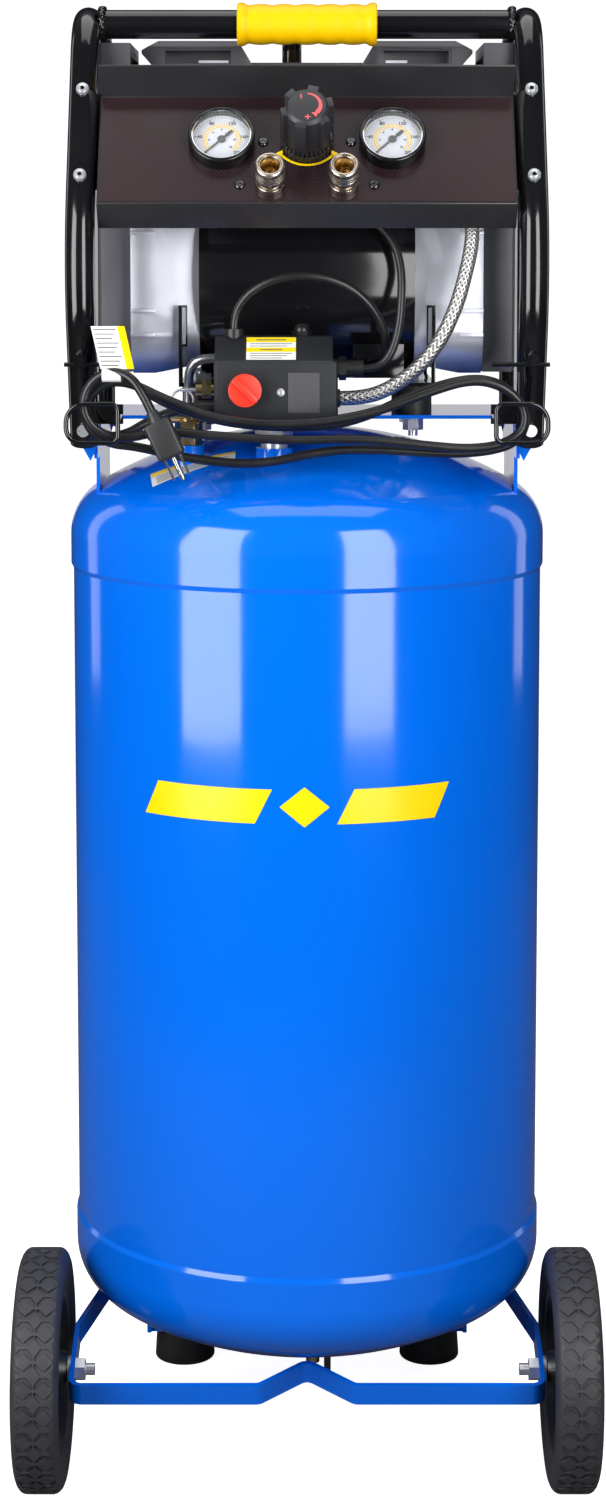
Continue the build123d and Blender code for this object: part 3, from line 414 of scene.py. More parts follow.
def eased(name, width, material, body="machine", angle=25, segments=2, smooth=30):
    """A copy of a CAD piece with its sharp edges rounded, which stands for it."""
    bpy.ops.object.select_all(action="DESELECT")
    piece = frame["nodes"][name].copy()
    piece.data = piece.data.copy()
    piece.parent = None
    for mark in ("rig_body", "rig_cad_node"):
        if mark in piece:
            del piece[mark]
    scene.collection.objects.link(piece)
    piece.select_set(True)
    bpy.context.view_layer.objects.active = piece
    bpy.ops.object.mode_set(mode="EDIT")
    bpy.ops.mesh.select_all(action="SELECT")
    bpy.ops.mesh.remove_doubles(threshold=0.00001)
    bpy.ops.mesh.dissolve_limited(angle_limit=radians(0.5))
    bpy.ops.object.mode_set(mode="OBJECT")
    ease = piece.modifiers.new("ease", "BEVEL")
    ease.width = width
    ease.segments = segments
    ease.limit_method = "ANGLE"
    ease.angle_limit = radians(angle)
    apply_all(piece)
    bpy.ops.object.shade_smooth_by_angle(angle=radians(smooth))
    return settle(piece, name + "_eased", material, body, (name,))


TANK_RADIUS = 200.0
TANK_Y = 0.008
weld_rings = []
for z in (0.2045, 0.7755):
    bpy.ops.object.select_all(action="DESELECT")
    bpy.ops.mesh.primitive_torus_add(
        major_segments=300, minor_segments=10, major_radius=0.2002, minor_radius=0.0016, location=(0, TANK_Y, z)
    )
    bead = bpy.context.active_object
    bpy.ops.object.shade_smooth()
    weld_rings.append(bead)
tank_welds = join(weld_rings)
settle(tank_welds, "tank_welds", blue)

# Painted mark on the front of the tank: two slanted bars with a small lozenge between them.

yellow_ink = finish(
    "yellow_ink", (1.0, 0.70, 0.0), (0.95, 0.64, 0.0), 0.28, tone_scale=20, grain=300, bump=0.03
)


def on_shell(low, high, base, top, slant=0.0, pinch=0.0):
    """A slanted patch of print wrapped on the shell, or a lozenge where pinch is 1."""
    bpy.ops.object.select_all(action="DESELECT")
    bpy.ops.mesh.primitive_grid_add(x_subdivisions=36, y_subdivisions=8, size=1)
    patch = bpy.context.active_object
    middle = (low + high) / 2
    for point in patch.data.vertices:
        share = 1 - pinch * 1.96 * abs(point.co.y)
        across = middle + (high - low) * point.co.x * share + slant * (point.co.y + 0.5)
        up = base + (top - base) * (point.co.y + 0.5)
        angle = across / TANK_RADIUS
        point.co = (0.2003 * sin(angle), TANK_Y - 0.2003 * cos(angle), up / 1000)
    return patch


mark = join([
    on_shell(-143, -42, 585, 613, 14), on_shell(24, 108, 585, 613, 14), on_shell(-22, 18, 583, 615, 0, 1),
])
settle(mark, "tank_mark", yellow_ink)

# ---- Wheels
# Solid rubber tyres with a tread of sunk chevrons round raised diamonds, on black moulded
# hubs. The axle bolts pass through the side plates of the strap.

tyre_rubber = finish(
    "tyre_rubber", (0.05, 0.05, 0.056), (0.026, 0.026, 0.03), 0.55, tone_scale=55, grain=700, bump=0.25
)
tyre_shape = [
    (66, 5), (68, 4), (70, 4), (72, 2.5), (78, 1.5), (84, 0.6), (88, 0.1), (92, 0.6), (95.5, 2), (98, 4),
    (99.4, 6), (100, 8.5), (100, 20), (100, 31.5), (99.4, 34), (98, 36), (95.5, 38), (92, 39.4), (88, 39.9),
    (84, 39.4), (78, 38.5), (72, 37.5), (70, 36), (68, 36), (66, 35), (66, 5),
]
tyre = turned(tyre_shape, (202, -110, 100), (1, 0, 0), 112)
octagon = bar((0, 0, 97.9), (0, 0, 1), 1, 6, 8)
octagon.data.transform(Matrix.Rotation(radians(22.5), 4, "Z"))
octagon.data.transform(Matrix.Diagonal((8.1 / 0.924, 10.2 / 0.924, 1, 1)))
diamond = bar((0, 0, 90), (0, 0, 1), 1, 20, 4)
diamond.data.transform(Matrix.Diagonal((7.9, 7.0, 1, 1)))
chevrons = cut(cut(octagon, diamond), block((-9, 9), (-1.3, 1.3), (90, 110)))
TREAD_STEPS = 28
grooves = []
for column in (-8.6, 8.6):
    for k in range(TREAD_STEPS):
        groove = chevrons.copy()
        groove.data = chevrons.data.copy()
        scene.collection.objects.link(groove)
        turn = Matrix.Rotation(2 * pi * k / TREAD_STEPS, 4, "X")
        groove.data.transform(turn @ Matrix.Translation((column / 1000, 0, 0)))
        groove.data.transform(Matrix.Translation((0.222, -0.110, 0.1)))
        grooves.append(groove)
bpy.data.objects.remove(chevrons)
cut(tyre, join(grooves))
bpy.ops.object.shade_smooth_by_angle(angle=radians(28))
tyre_twin = tyre.copy()
tyre_twin.data = tyre.data.copy()
scene.collection.objects.link(tyre_twin)
settle(tyre, "tyre_right_tread", tyre_rubber, "wheel_right", ("tyre_right",))
tyre_twin.data.transform(Matrix.Diagonal((-1, 1, 1, 1)))
tyre_twin.data.flip_normals()
settle(tyre_twin, "tyre_left_tread", tyre_rubber, "wheel_left", ("tyre_left",))
hub_plastic = finish(
    "hub_plastic", (0.02, 0.02, 0.022), (0.011, 0.011, 0.012), 0.36, tone_scale=30, grain=500
)
eased("hub_left", 0.0012, hub_plastic, "wheel_left")
eased("hub_right", 0.0012, hub_plastic, "wheel_right")
zinc = finish(
    "zinc_plate", (0.72, 0.73, 0.75), (0.56, 0.58, 0.61), 0.3, metal=0.7,
    tone_scale=60, grain=800, bump=0.08
)
dress(zinc, "axle_bolts", "axle_nuts", "isolator_bolts", "switch_manifold")

# ---- Rear feet, drain and deck rubbers
# Moulded rubber feet and isolators. The drain is a brass cock with a pressed lever.

foot_rubber = finish(
    "foot_rubber", (0.014, 0.014, 0.015), (0.007, 0.007, 0.008), 0.55, tone_scale=30, grain=500, bump=0.2
)
eased("rubber_feet", 0.002, foot_rubber)
dress(foot_rubber, "isolators")
brass = finish(
    "brass", (0.70, 0.52, 0.26), (0.5, 0.37, 0.18), 0.27, metal=1.0, tone_scale=50, grain=900, bump=0.08
)
dress(brass, "drain_valve", "safety_valve")
eased("check_valve", 0.0006, brass)
lever_plastic = finish("lever_plastic", (0.02, 0.02, 0.022), (0.01, 0.01, 0.011), 0.45)
dress(lever_plastic, "drain_lever")

# ---- Tube frames, cross bar and grip
# Bent steel tube with a glossy black powder coat. The bar is welded between the tubes with
# visible beads, and a yellow moulded sleeve covers its middle.

black_coat = finish(
    "black_coat", (0.006, 0.006, 0.007), (0.003, 0.003, 0.004), 0.14,
    tone_scale=12, grain=220, bump=0.06, depth=0.0003
)
black_coat.node_tree.nodes["Principled BSDF"].inputs["Coat Weight"].default_value = 0.3
dress(black_coat, "side_frame_left", "side_frame_right", "cross_bar", "cord_hooks")
satin_coat = finish(
    "satin_coat", (0.022, 0.021, 0.023), (0.017, 0.016, 0.018), 0.3, tone_scale=12, grain=400, bump=0.1
)
eased("control_panel", 0.0012, satin_coat, segments=3)
eased("motor_brackets", 0.0006, black_coat)
dress(zinc, "frame_bolts")
leg_out = Vector((0, -0.8908, 0.4544))
button_shape = [(1.7, 0.1), (1.7, 3.5), (2.1, 4.0), (3.7, 3.7), (4.9, 2.5), (5.3, 0.8), (5.3, 0.1), (1.7, 0.1)]
# Each button's socket hole is closed just under its mouth by a black disc: painted shade standing in for the
# dark inside of the socket.
buttons = []
socket_shade_discs = []
for x in (-182.5, 182.5):
    for z in (1094, 1164):
        seat = Vector((x, -140 + 101 * (z - 1031) / 198, z)) + 12 * leg_out
        buttons.append(turned(button_shape, seat, leg_out, 24))
        socket_shade_discs.append(bar(seat + 3.05 * leg_out, leg_out, 1.8, 0.3))
settle(join(buttons), "frame_bolt_buttons", zinc)
settle(join(socket_shade_discs), "frame_bolt_socket_shade", black_coat)
bar_welds = []
for x in (-0.1700, 0.1700):
    bpy.ops.object.select_all(action="DESELECT")
    bpy.ops.mesh.primitive_torus_add(
        major_segments=96, minor_segments=12, major_radius=0.0126, minor_radius=0.0026,
        location=(x, -0.026, 1.2257), rotation=(0, pi / 2, 0),
    )
    bead = bpy.context.active_object
    bpy.ops.object.transform_apply(location=True, rotation=True, scale=True)
    for point in bead.data.vertices:
        around = atan2(point.co.z - 1.2257, point.co.y + 0.026)
        point.co.x += 0.0009 * sin(17 * around) + 0.0005 * sin(41 * around)
    bpy.ops.object.shade_smooth()
    bar_welds.append(bead)
settle(join(bar_welds), "bar_welds", black_coat)

grip_vinyl = finish(
    "grip_vinyl", (0.95, 0.55, 0.0), (0.9, 0.5, 0.0), 0.4, tone_scale=30, grain=500, bump=0.12
)
grip_vinyl.node_tree.nodes["Principled BSDF"].inputs["Specular IOR Level"].default_value = 0.2
grip_shape = [(12.1, 0), (16.6, 0), (17.8, 1.2), (18, 3.5), (17.6, 6), (16.2, 8.2), (15.7, 10)]
for k in range(5):
    start = 10 + 19.2 * k
    grip_shape += [(16.6, start + 4.8), (16.9, start + 9.6), (16.6, start + 14.4), (15.7, start + 19.2)]
grip_shape += [(16.2, 107.8), (17.6, 110), (18, 112.5), (17.8, 114.8), (16.6, 116), (12.1, 116), (12.1, 0)]
grip = turned(grip_shape, (-58, -26, 1225.7), (1, 0, 0), 64)
settle(grip, "grip_sleeve", grip_vinyl, stands_for=("handle_grip",))

# ---- Control panel film, arrow and screws
# A printed film on the sloping steel face: dark plum with a fine dot pattern in the middle
# and one yellow turning arrow below the knob.

film = finish(
    "label_film", (0.030, 0.016, 0.018), (0.024, 0.013, 0.015), 0.24, tone_scale=9, grain=500, bump=0.03
)
film_tree = film.node_tree
film_tree.nodes["Principled BSDF"].inputs["Specular IOR Level"].default_value = 0.3
film_place = film_tree.nodes.new("ShaderNodeTexCoord")
film_turn = film_tree.nodes.new("ShaderNodeMapping")
film_turn.inputs["Rotation"].default_value = (radians(-55.6), 0, radians(45))
dots = film_tree.nodes.new("ShaderNodeTexVoronoi")
dots.voronoi_dimensions = "2D"
dots.inputs["Scale"].default_value = 400
dots.inputs["Randomness"].default_value = 0
dot_edge = film_tree.nodes.new("ShaderNodeMath")
dot_edge.operation = "LESS_THAN"
dot_edge.inputs[1].default_value = 0.29
split = film_tree.nodes.new("ShaderNodeSeparateXYZ")
sideways = film_tree.nodes.new("ShaderNodeMath")
sideways.operation = "ABSOLUTE"
fade = film_tree.nodes.new("ShaderNodeMapRange")
fade.inputs["From Min"].default_value = 0.085
fade.inputs["From Max"].default_value = 0.155
fade.inputs["To Min"].default_value = 0.75
fade.inputs["To Max"].default_value = 0.0
strength = film_tree.nodes.new("ShaderNodeMath")
strength.operation = "MULTIPLY"
dotted = film_tree.nodes.new("ShaderNodeMix")
dotted.data_type = "RGBA"
dotted.inputs[7].default_value = (0.006, 0.004, 0.005, 1)
film_link = film_tree.links.new
film_link(film_place.outputs["Object"], film_turn.inputs["Vector"])
film_link(film_turn.outputs[0], dots.inputs["Vector"])
film_link(dots.outputs["Distance"], dot_edge.inputs[0])
film_link(film_place.outputs["Object"], split.inputs[0])
film_link(split.outputs["X"], sideways.inputs[0])
film_link(sideways.outputs[0], fade.inputs["Value"])
film_link(dot_edge.outputs[0], strength.inputs[0])
film_link(fade.outputs[0], strength.inputs[1])
film_link(strength.outputs[0], dotted.inputs[0])
film_link(film_tree.nodes["tint"].outputs[2], dotted.inputs[6])
film_link(dotted.outputs[2], film_tree.nodes["Principled BSDF"].inputs["Base Color"])
dress(film, "panel_label")
black_nickel = finish(
    "black_nickel", (0.16, 0.16, 0.17), (0.1, 0.1, 0.11), 0.18, metal=1.0, grain=500, bump=0.05
)
dress(black_nickel, "panel_screws")

panel_frame = Matrix(((1, 0, 0), (0, 0.56497, 0.82511), (0, -0.82511, 0.56497))).transposed().to_4x4()
panel_frame.translation = Vector((0, -0.132, 1.0775))


def to_panel(piece):
    """Carry a piece drawn with x across, y up the face and z out of it onto the panel."""
    piece.data.transform(panel_frame)
    return piece


def ring_part(start, end, inner, outer, middle, low, high, steps=40):
    """A flat band of print round a middle, between two angles in degrees."""
    bpy.ops.object.select_all(action="DESELECT")
    bpy.ops.mesh.primitive_grid_add(x_subdivisions=steps, y_subdivisions=1, size=1)
    piece = bpy.context.active_object
    for point in piece.data.vertices:
        angle = radians(start + (end - start) * (point.co.x + 0.5))
        radius = inner + (outer - inner) * (point.co.y + 0.5)
        x = middle[0] + radius * cos(angle)
        y = middle[1] + radius * sin(angle)
        point.co = (x / 1000, y / 1000, low / 1000)
    wall = piece.modifiers.new("wall", "SOLIDIFY")
    wall.thickness = (high - low) / 1000
    wall.offset = 0
    apply_all(piece)
    bpy.ops.object.mode_set(mode="EDIT")
    bpy.ops.mesh.select_all(action="SELECT")
    bpy.ops.mesh.normals_make_consistent(inside=False)
    bpy.ops.object.mode_set(mode="OBJECT")
    return piece


def arrow_head(middle, aim, size, low, high):
    """A thin triangle that points along an angle in degrees."""
    head = bar((0, 0, low), (0, 0, 1), size, high - low, 3)
    head.data.transform(Matrix.Rotation(radians(aim + 30), 4, "Z"))
    head.data.transform(Matrix.Translation((middle[0] / 1000, middle[1] / 1000, 0)))
    return head


arrow = join([
    ring_part(-142, -38, 25.8, 27.8, (0, 63.4), 0.65, 0.75),
    arrow_head((-21.8, 47.6), 121, 4.2, 0.6, 0.7), arrow_head((21.8, 47.6), 59, 4.2, 0.6, 0.7),
])
settle(to_panel(arrow), "turning_arrow", yellow_ink)

# ---- Gauges
# Black moulded cups with a chromed rim, white printed dials with a numbered outer scale and
# a yellow inner one, black pointers and clear lenses.

gauge_black = finish("gauge_black", (0.008, 0.008, 0.009), (0.004, 0.004, 0.005), 0.2, grain=400, bump=0.04)
eased("gauge_cases", 0.0004, gauge_black)
card = finish("dial_card", (0.60, 0.62, 0.68), (0.55, 0.57, 0.62), 0.4, tone_scale=40, grain=900, bump=0.02)
dress(card, "gauge_dials")
black_ink = finish(
    "black_ink", (0.008, 0.008, 0.009), (0.004, 0.004, 0.004), 0.4, tone_scale=40, grain=900, bump=0.02
)
dress(black_ink, "needle_left", "needle_right")
lens_clear = finish(
    "lens_clear", (1.0, 1.0, 1.0), (0.94, 0.96, 1.0), 0.04, tone_scale=30, grain=200, bump=0.01, spread=0.02
)
lens_clear.node_tree.nodes["Principled BSDF"].inputs["Alpha"].default_value = 0.05
dress(lens_clear, "gauge_lenses")
chrome = finish("chrome", (0.85, 0.86, 0.88), (0.72, 0.73, 0.76), 0.1, metal=1.0, grain=500, bump=0.03)


def numeral(words, size, x, y, z, turn=0.0):
    """Raised print of a number, centred on a place."""
    bpy.ops.object.select_all(action="DESELECT")
    bpy.ops.object.text_add()
    text = bpy.context.active_object
    text.data.body = words
    text.data.size = size / 1000
    text.data.align_x = "CENTER"
    text.data.align_y = "CENTER"
    text.data.extrude = 0.00003
    text.data.offset = 0.00016
    text.data.resolution_u = 3
    bpy.ops.object.convert(target="MESH")
    text = bpy.context.active_object
    text.data.transform(Matrix.Translation((x / 1000, y / 1000, z / 1000)) @ Matrix.Rotation(turn, 4, "Z"))
    return text


GAUGE_X = 69
PANEL_ROW = 59
rim_shape = [(23.0, 11.6), (23.4, 12.4), (24.1, 12.5), (24.2, 11.2), (23.4, 10.8), (23.0, 11.6)]
cap_shape = [(0, 5.4), (1.7, 5.4), (1.7, 6.0), (0.9, 6.5), (0, 6.5)]
rims = []
black_marks = []
yellow_marks = []
for centre in (-GAUGE_X, GAUGE_X):
    rims.append(turned(rim_shape, (centre, PANEL_ROW, 0), (0, 0, 1), 64))
    for k in range(41):
        angle = radians(225 - 6.75 * k)
        inner, wide = (20.4, 0.34) if k % 8 == 0 else ((20.9, 0.24) if k % 4 == 0 else (21.4, 0.16))
        tick = block((inner, 22.6), (-wide, wide), (4.02, 4.08))
        place = Matrix.Translation((centre / 1000, PANEL_ROW / 1000, 0))
        tick.data.transform(place @ Matrix.Rotation(angle, 4, "Z"))
        black_marks.append(tick)
    for k, words in enumerate(("0", "40", "80", "120", "160", "200")):
        angle = radians(225 - 54 * k)
        x = centre + 18.0 * cos(angle)
        black_marks.append(numeral(words, 4.2, x, PANEL_ROW + 18.0 * sin(angle), 4.05))
    yellow_marks.append(ring_part(-45, 225, 12.1, 13.0, (centre, PANEL_ROW), 4.05, 4.1, 72))
    yellow_marks.append(ring_part(-45, 225, 14.5, 15.5, (centre, PANEL_ROW), 4.05, 4.1, 72))
    for k in range(29):
        angle = radians(225 - 270 * k / 28)
        tick = block((12.6, 15.0), (-0.26, 0.26), (4.02, 4.08))
        place = Matrix.Translation((centre / 1000, PANEL_ROW / 1000, 0))
        tick.data.transform(place @ Matrix.Rotation(angle, 4, "Z"))
        yellow_marks.append(tick)
    for k in range(7):
        angle = radians(225 - 45 * k)
        x = centre + 10.2 * cos(angle)
        black_marks.append(numeral(str(2 * k), 2.4, x, PANEL_ROW + 10.2 * sin(angle), 4.05))
    black_marks.append(turned(cap_shape, (centre, PANEL_ROW, 0), (0, 0, 1), 24))
scale_ink = finish(
    "scale_ink", (0.82, 0.55, 0.0), (0.76, 0.48, 0.0), 0.4, tone_scale=40, grain=900, bump=0.02
)
settle(to_panel(join(rims)), "gauge_rims", chrome)
settle(to_panel(join(black_marks)), "dial_marks", black_ink)
settle(to_panel(join(yellow_marks)), "dial_inner_scale", scale_ink)

# ---- Regulator knob and its collar
# Moulded black knob with six lobes on a ribbed collar. A red arc with an arrow head and
# plus and minus marks is printed on its flat top.

knob_plastic = finish(
    "knob_plastic", (0.03, 0.03, 0.035), (0.018, 0.018, 0.021), 0.4, tone_scale=30, grain=900, bump=0.2
)
eased("regulator_knob", 0.0011, knob_plastic, "regulator_knob", segments=3)
red_ink = finish("red_ink", (0.85, 0.12, 0.13), (0.78, 0.09, 0.1), 0.4, grain=500, bump=0.02)
crescent = ring_part(-42, 88, 9.4, 11.4, (0, PANEL_ROW), 50.05, 50.12)
for point in crescent.data.vertices:
    out = Vector((point.co.x, point.co.y - PANEL_ROW / 1000, 0))
    turn = (88 - atan2(out.y, out.x) * 180 / pi) / 130
    width = 0.35 + 0.9 * turn
    rim = 0.0122 if out.length > 0.0104 else 0.0122 - 0.003 * width
    point.co.x = out.x / out.length * rim
    point.co.y = PANEL_ROW / 1000 + out.y / out.length * rim
knob_print = join([
    crescent, arrow_head((6.6, 50.9), -135, 3.2, 50.0, 50.1),
    block((-1.8, 2.8), (47.4, 48.4), (50.0, 50.08)), block((0.0, 1.0), (45.4, 50.2), (50.0, 50.08)),
    block((-5.2, -4.2), (66.0, 70.2), (50.0, 50.08)),
])
settle(to_panel(knob_print), "knob_print", red_ink, "regulator_knob")
ribs = []
for k in range(30):
    rib = block((19.6, 20.7), (-0.9, 0.9), (0.6, 5.6))
    rib.data.transform(Matrix.Translation((0, PANEL_ROW / 1000, 0)) @ Matrix.Rotation(2 * pi * k / 30, 4, "Z"))
    ribs.append(rib)
collar_shape = [(15.2, 0.5), (20.1, 0.5), (20.1, 5.4), (19.5, 6.1), (15.2, 6.1), (15.2, 0.5)]
ribs.append(turned(collar_shape, (0, PANEL_ROW, 0), (0, 0, 1)))
settle(to_panel(join(ribs)), "collar_ribs", knob_plastic)
skirt_ribs = []
for k in range(36):
    rib = block((20.4, 21.9), (-0.8, 0.8), (6.8, 13.4))
    rib.data.transform(Matrix.Translation((0, PANEL_ROW / 1000, 0)) @ Matrix.Rotation(2 * pi * k / 36, 4, "Z"))
    skirt_ribs.append(round_edges(rib, 0.0003, 1))
settle(to_panel(join(skirt_ribs)), "knob_skirt_ribs", knob_plastic, "regulator_knob")
cast = finish(
    "cast_aluminium", (0.74, 0.75, 0.82), (0.58, 0.6, 0.66), 0.42,
    metal=0.85, tone_scale=25, grain=1400, bump=0.35, depth=0.0003
)
dress(cast, "regulator_body")

# ---- Quick couplers
# Nickel-plated bodies with a knurled sprung sleeve and a brass seat inside the mouth.

nickel = finish(
    "nickel", (0.66, 0.59, 0.50), (0.5, 0.44, 0.37), 0.27, metal=1.0, tone_scale=70, grain=900, bump=0.06
)
eased("coupler_sleeve_left", 0.0004, nickel, "coupler_sleeve_left")
eased("coupler_sleeve_right", 0.0004, nickel, "coupler_sleeve_right")
COUPLER_X = 29.5
COUPLER_ROW = 18
seats = []
barrels = []
for x in (-COUPLER_X, COUPLER_X):
    seats.append(turned(
        [(5.5, 7.2), (5.5, 20.6), (7.6, 24.6), (7.8, 24.4), (7.8, 20), (5.9, 18), (5.9, 7.2), (5.5, 7.2)],
        (x, COUPLER_ROW, 0), (0, 0, 1), 40,
    ))
    barrels.append(turned(
        [
            (0, -18), (8.6, -18), (9, -17), (9, 0.5), (11.6, 0.5), (12, 0.9), (12, 6), (11.6, 6.5), (9.2, 6.5),
            (9.2, 26.6), (8.9, 27), (8.4, 27), (8.1, 26.6), (8.1, 24.8), (6.0, 20), (6.0, 7), (0, 7),
        ], (x, COUPLER_ROW, 0), (0, 0, 1), 48,
    ))
    for k in range(2):
        side = round_edges(block((-10.6, 10.6), (-6, 6), (0.8, 6.2)), 0.0004, 2)
        place = Matrix.Translation((x / 1000, COUPLER_ROW / 1000, 0))
        side.data.transform(place @ Matrix.Rotation(pi * k / 2 + pi / 4, 4, "Z"))
        barrels.append(side)
settle(to_panel(join(seats)), "coupler_seats", brass)
settle(to_panel(join(barrels)), "coupler_barrels", nickel, stands_for=("coupler_bodies",))

# ---- Pump
# Glossy black motor tube between two blasted aluminium crankcases with finned cylinders.
# Charcoal moulded shrouds close both ends and two vented covers sit on the heads.

enamel = finish(
    "motor_enamel", (0.007, 0.007, 0.008), (0.004, 0.004, 0.005), 0.12, tone_scale=12, grain=200, bump=0.05
)
eased("motor_housing", 0.0006, enamel)
eased("crankcases", 0.0012, cast, segments=3)
eased("cylinder_heads", 0.0008, cast)
dress(cast, "pistons")
steel_stack = finish("steel_stack", (0.3, 0.3, 0.31), (0.2, 0.2, 0.21), 0.4, metal=0.9)
dress(steel_stack, "stator", "rotor")
charcoal = finish(
    "charcoal_plastic", (0.078, 0.078, 0.09), (0.052, 0.052, 0.06), 0.42,
    tone_scale=20, grain=1100, bump=0.3
)
eased("end_shrouds", 0.0015, charcoal, segments=3)
eased("intake_covers", 0.0015, charcoal, segments=3)
dress(charcoal, "fans")
settle(bar((-13, 43, 1207.5), (0, 0, 1), 8.3, 11), "motor_stem_end", enamel)
settle(round_edges(block((-47, 47), (2, 6.5), (1186, 1196)), 0.001), "cover_bridge", charcoal)
filter_bars = join([block(span, (-4.5, -3), (1195.3, 1197.4)) for span in ((-91, -66), (66, 84))])
settle(filter_bars, "filter_bars", cast)
case_lugs = join([block(span, (-64.4, -63.6), (962, 992)) for span in ((-104.6, -100.4), (100.4, 104.6))])
settle(case_lugs, "case_lugs", cast)

# ---- Pressure switch
# Slate moulded cover with a sloping top, a red knob with a grip bar, one screw, a blank
# plate and a striped sticker. Its glands are black nylon.

slate = finish(
    "switch_slate", (0.017, 0.019, 0.023), (0.010, 0.011, 0.013), 0.5, tone_scale=25, grain=1200, bump=0.35
)
slate.node_tree.nodes["Principled BSDF"].inputs["Specular IOR Level"].default_value = 0.3
eased("pressure_switch_cover", 0.002, slate, segments=3)
dress(finish("gland_nylon", (0.012, 0.012, 0.013), (0.006, 0.006, 0.007), 0.35), "switch_glands")
knob_red = finish(
    "knob_red", (0.83, 0.045, 0.02), (0.7, 0.03, 0.015), 0.32, tone_scale=30, grain=600, bump=0.1
)
eased("switch_knob", 0.0008, knob_red, "switch_knob")
switch_face = round_edges(block((-75.2, 24.9), (-134.3, -128), (901.4, 951.6)), 0.003, 4)
settle(switch_face, "switch_face", slate)
plate = round_edges(block((-15.3, 10.2), (-134.9, -134.1), (909.5, 942)), 0.0003, 2)
plate_plastic = finish(
    "plate_rough", (0.055, 0.056, 0.06), (0.035, 0.036, 0.04), 0.6, tone_scale=120, grain=1500, bump=0.8
)
settle(plate, "switch_blank_plate", plate_plastic)
screw_shape = [(0, 0), (3.4, 0), (3.4, 1.0), (2.6, 1.9), (1.5, 2.1), (1.2, 1.1), (0, 1.0)]
switch_screw = turned(screw_shape, (-21, -134.1, 926), (0, -1, 0), 32)
settle(switch_screw, "switch_screw", zinc)
sticker_frame = Matrix(((1, 0, 0), (0, 0.8148, 0.5797), (0, -0.5797, 0.8148))).transposed().to_4x4()
sticker_frame.translation = Vector((-0.029, -0.121, 0.96075))
paper_white = finish(
    "paper_white", (0.85, 0.85, 0.83), (0.78, 0.78, 0.76), 0.45, tone_scale=40, grain=700, bump=0.05
)
grey_ink = finish("grey_ink", (0.12, 0.12, 0.13), (0.07, 0.07, 0.08), 0.5)


def print_set(name, turn, wide, high, bands, rows, body="machine"):
    """A plain sticker: a white ground, yellow bands and grey lines, each (x0, x1, y0, y1)."""
    ground = block((-wide / 2, wide / 2), (-high / 2, high / 2), (0.02, 0.2))
    heads = join([block((x0, x1), (y0, y1), (0.2, 0.26)) for x0, x1, y0, y1 in bands])
    lines = join([block((x0, x1), (y0, y1), (0.2, 0.3)) for x0, x1, y0, y1 in rows])
    for piece, suffix, material, slot in (
        (ground, "ground", paper_white, "dial_card"), (heads, "band", yellow_ink, "yellow_grip"),
        (lines, "lines", grey_ink, "needle_paint"),
    ):
        piece.data.transform(turn)
        settle(piece, f"{name}_{suffix}", material, body)


def lines_of(low, high, x0, x1, count, thick=0.35):
    """Rows of print between two heights, with ragged right ends."""
    step = (high - low) / count
    return [
        (x0, x1 - (k % 3) * 0.12 * (x1 - x0), high - step * (k + 0.5) - thick, high - step * (k + 0.5) + thick)
        for k in range(count)
    ]


switch_lines = [(-12, 12, 10.4, 11.8), (-9, 9, -2.4, -1.2)]
switch_lines += lines_of(1.5, 7.6, -17, 17, 2) + lines_of(-14, -5, -17, 17, 3)
switch_bands = [(-20, 20, 8, 14.5), (-20, 20, -4.5, 1)]
print_set("switch_sticker", sticker_frame, 40, 29, switch_bands, switch_lines)

# ---- Plumbing and motor leads
# Bright drawn tube for air, black leads for the motor, and a hose with a woven steel jacket
# crimped in a ferrule at its upper end.


def soft_line(name, routes, radius, material, stands_for=(), smooth=8):
    """Round tube or lead on one smooth line for each route, in millimetres."""
    data = bpy.data.curves.new(name, "CURVE")
    data.dimensions = "3D"
    for route in routes:
        part = data.splines.new("NURBS")
        part.points.add(len(route) - 1)
        for point, (x, y, z) in zip(part.points, route):
            point.co = (x / 1000, y / 1000, z / 1000, 1)
        part.order_u = 3
        part.use_endpoint_u = True
        part.resolution_u = smooth
    data.bevel_depth = radius / 1000
    data.bevel_resolution = 6
    data.use_fill_caps = True
    data.materials.append(material)
    piece = bpy.data.objects.new(name, data)
    scene.collection.objects.link(piece)
    bpy.ops.object.select_all(action="DESELECT")
    piece.select_set(True)
    bpy.context.view_layer.objects.active = piece
    bpy.ops.object.convert(target="MESH")
    piece = bpy.context.active_object
    bpy.ops.object.shade_smooth()
    return settle(piece, name, None, stands_for=stands_for)


tube_metal = finish(
    "tube_aluminium", (0.55, 0.56, 0.58), (0.4, 0.41, 0.43), 0.3, metal=1.0, tone_scale=60, grain=700
)
soft_line("air_tubes", [
    [
        (-77, -72, 904), (-66, -72, 904), (-60, -69, 911), (-60, -50, 912), (-60, 8, 909.5), (-60, 68, 909.5),
        (-60, 106, 911), (-60, 120, 928), (-60, 122, 970), (-60, 122, 1060), (-60, 120, 1130),
        (-64, 117, 1156), (-78, 110, 1167), (-97, 101, 1170), (-112, 87, 1170), (-112, 68.2, 1170),
    ],
    [(-56, 13, 1190), (0, 13, 1190), (56, 13, 1190)],
], 4.8, tube_metal, ("discharge_tubes",))
bleed_route = [(-98, -72, 911), (-98, -72, 926), (-97, -78, 942), (-89, -82, 951), (-74.8, -82, 951)]
soft_line("bleed_tube", [bleed_route], 4, tube_metal, ("unloader_tube",))
soft_line("motor_leads", [
    [
        (-59, -104, 976), (-59, -104, 988), (-48, -109, 1005), (-26, -113, 1017), (2, -114, 1020),
        (30, -112, 1013), (50, -107, 998), (62, -100, 978), (65, -92, 961), (62, -81, 948), (62, -66.3, 948),
    ],
    [
        (45.8, -104, 944), (58, -104, 944), (69, -105, 956), (75, -105, 978), (77, -102, 1002), (77, -95, 1024),
        (72, -87, 1045), (61, -79, 1059), (47, -72, 1066), (38, -69, 1070), (38, -69, 1081.8),
    ],
], 3.5, vinyl, ("motor_cables",))

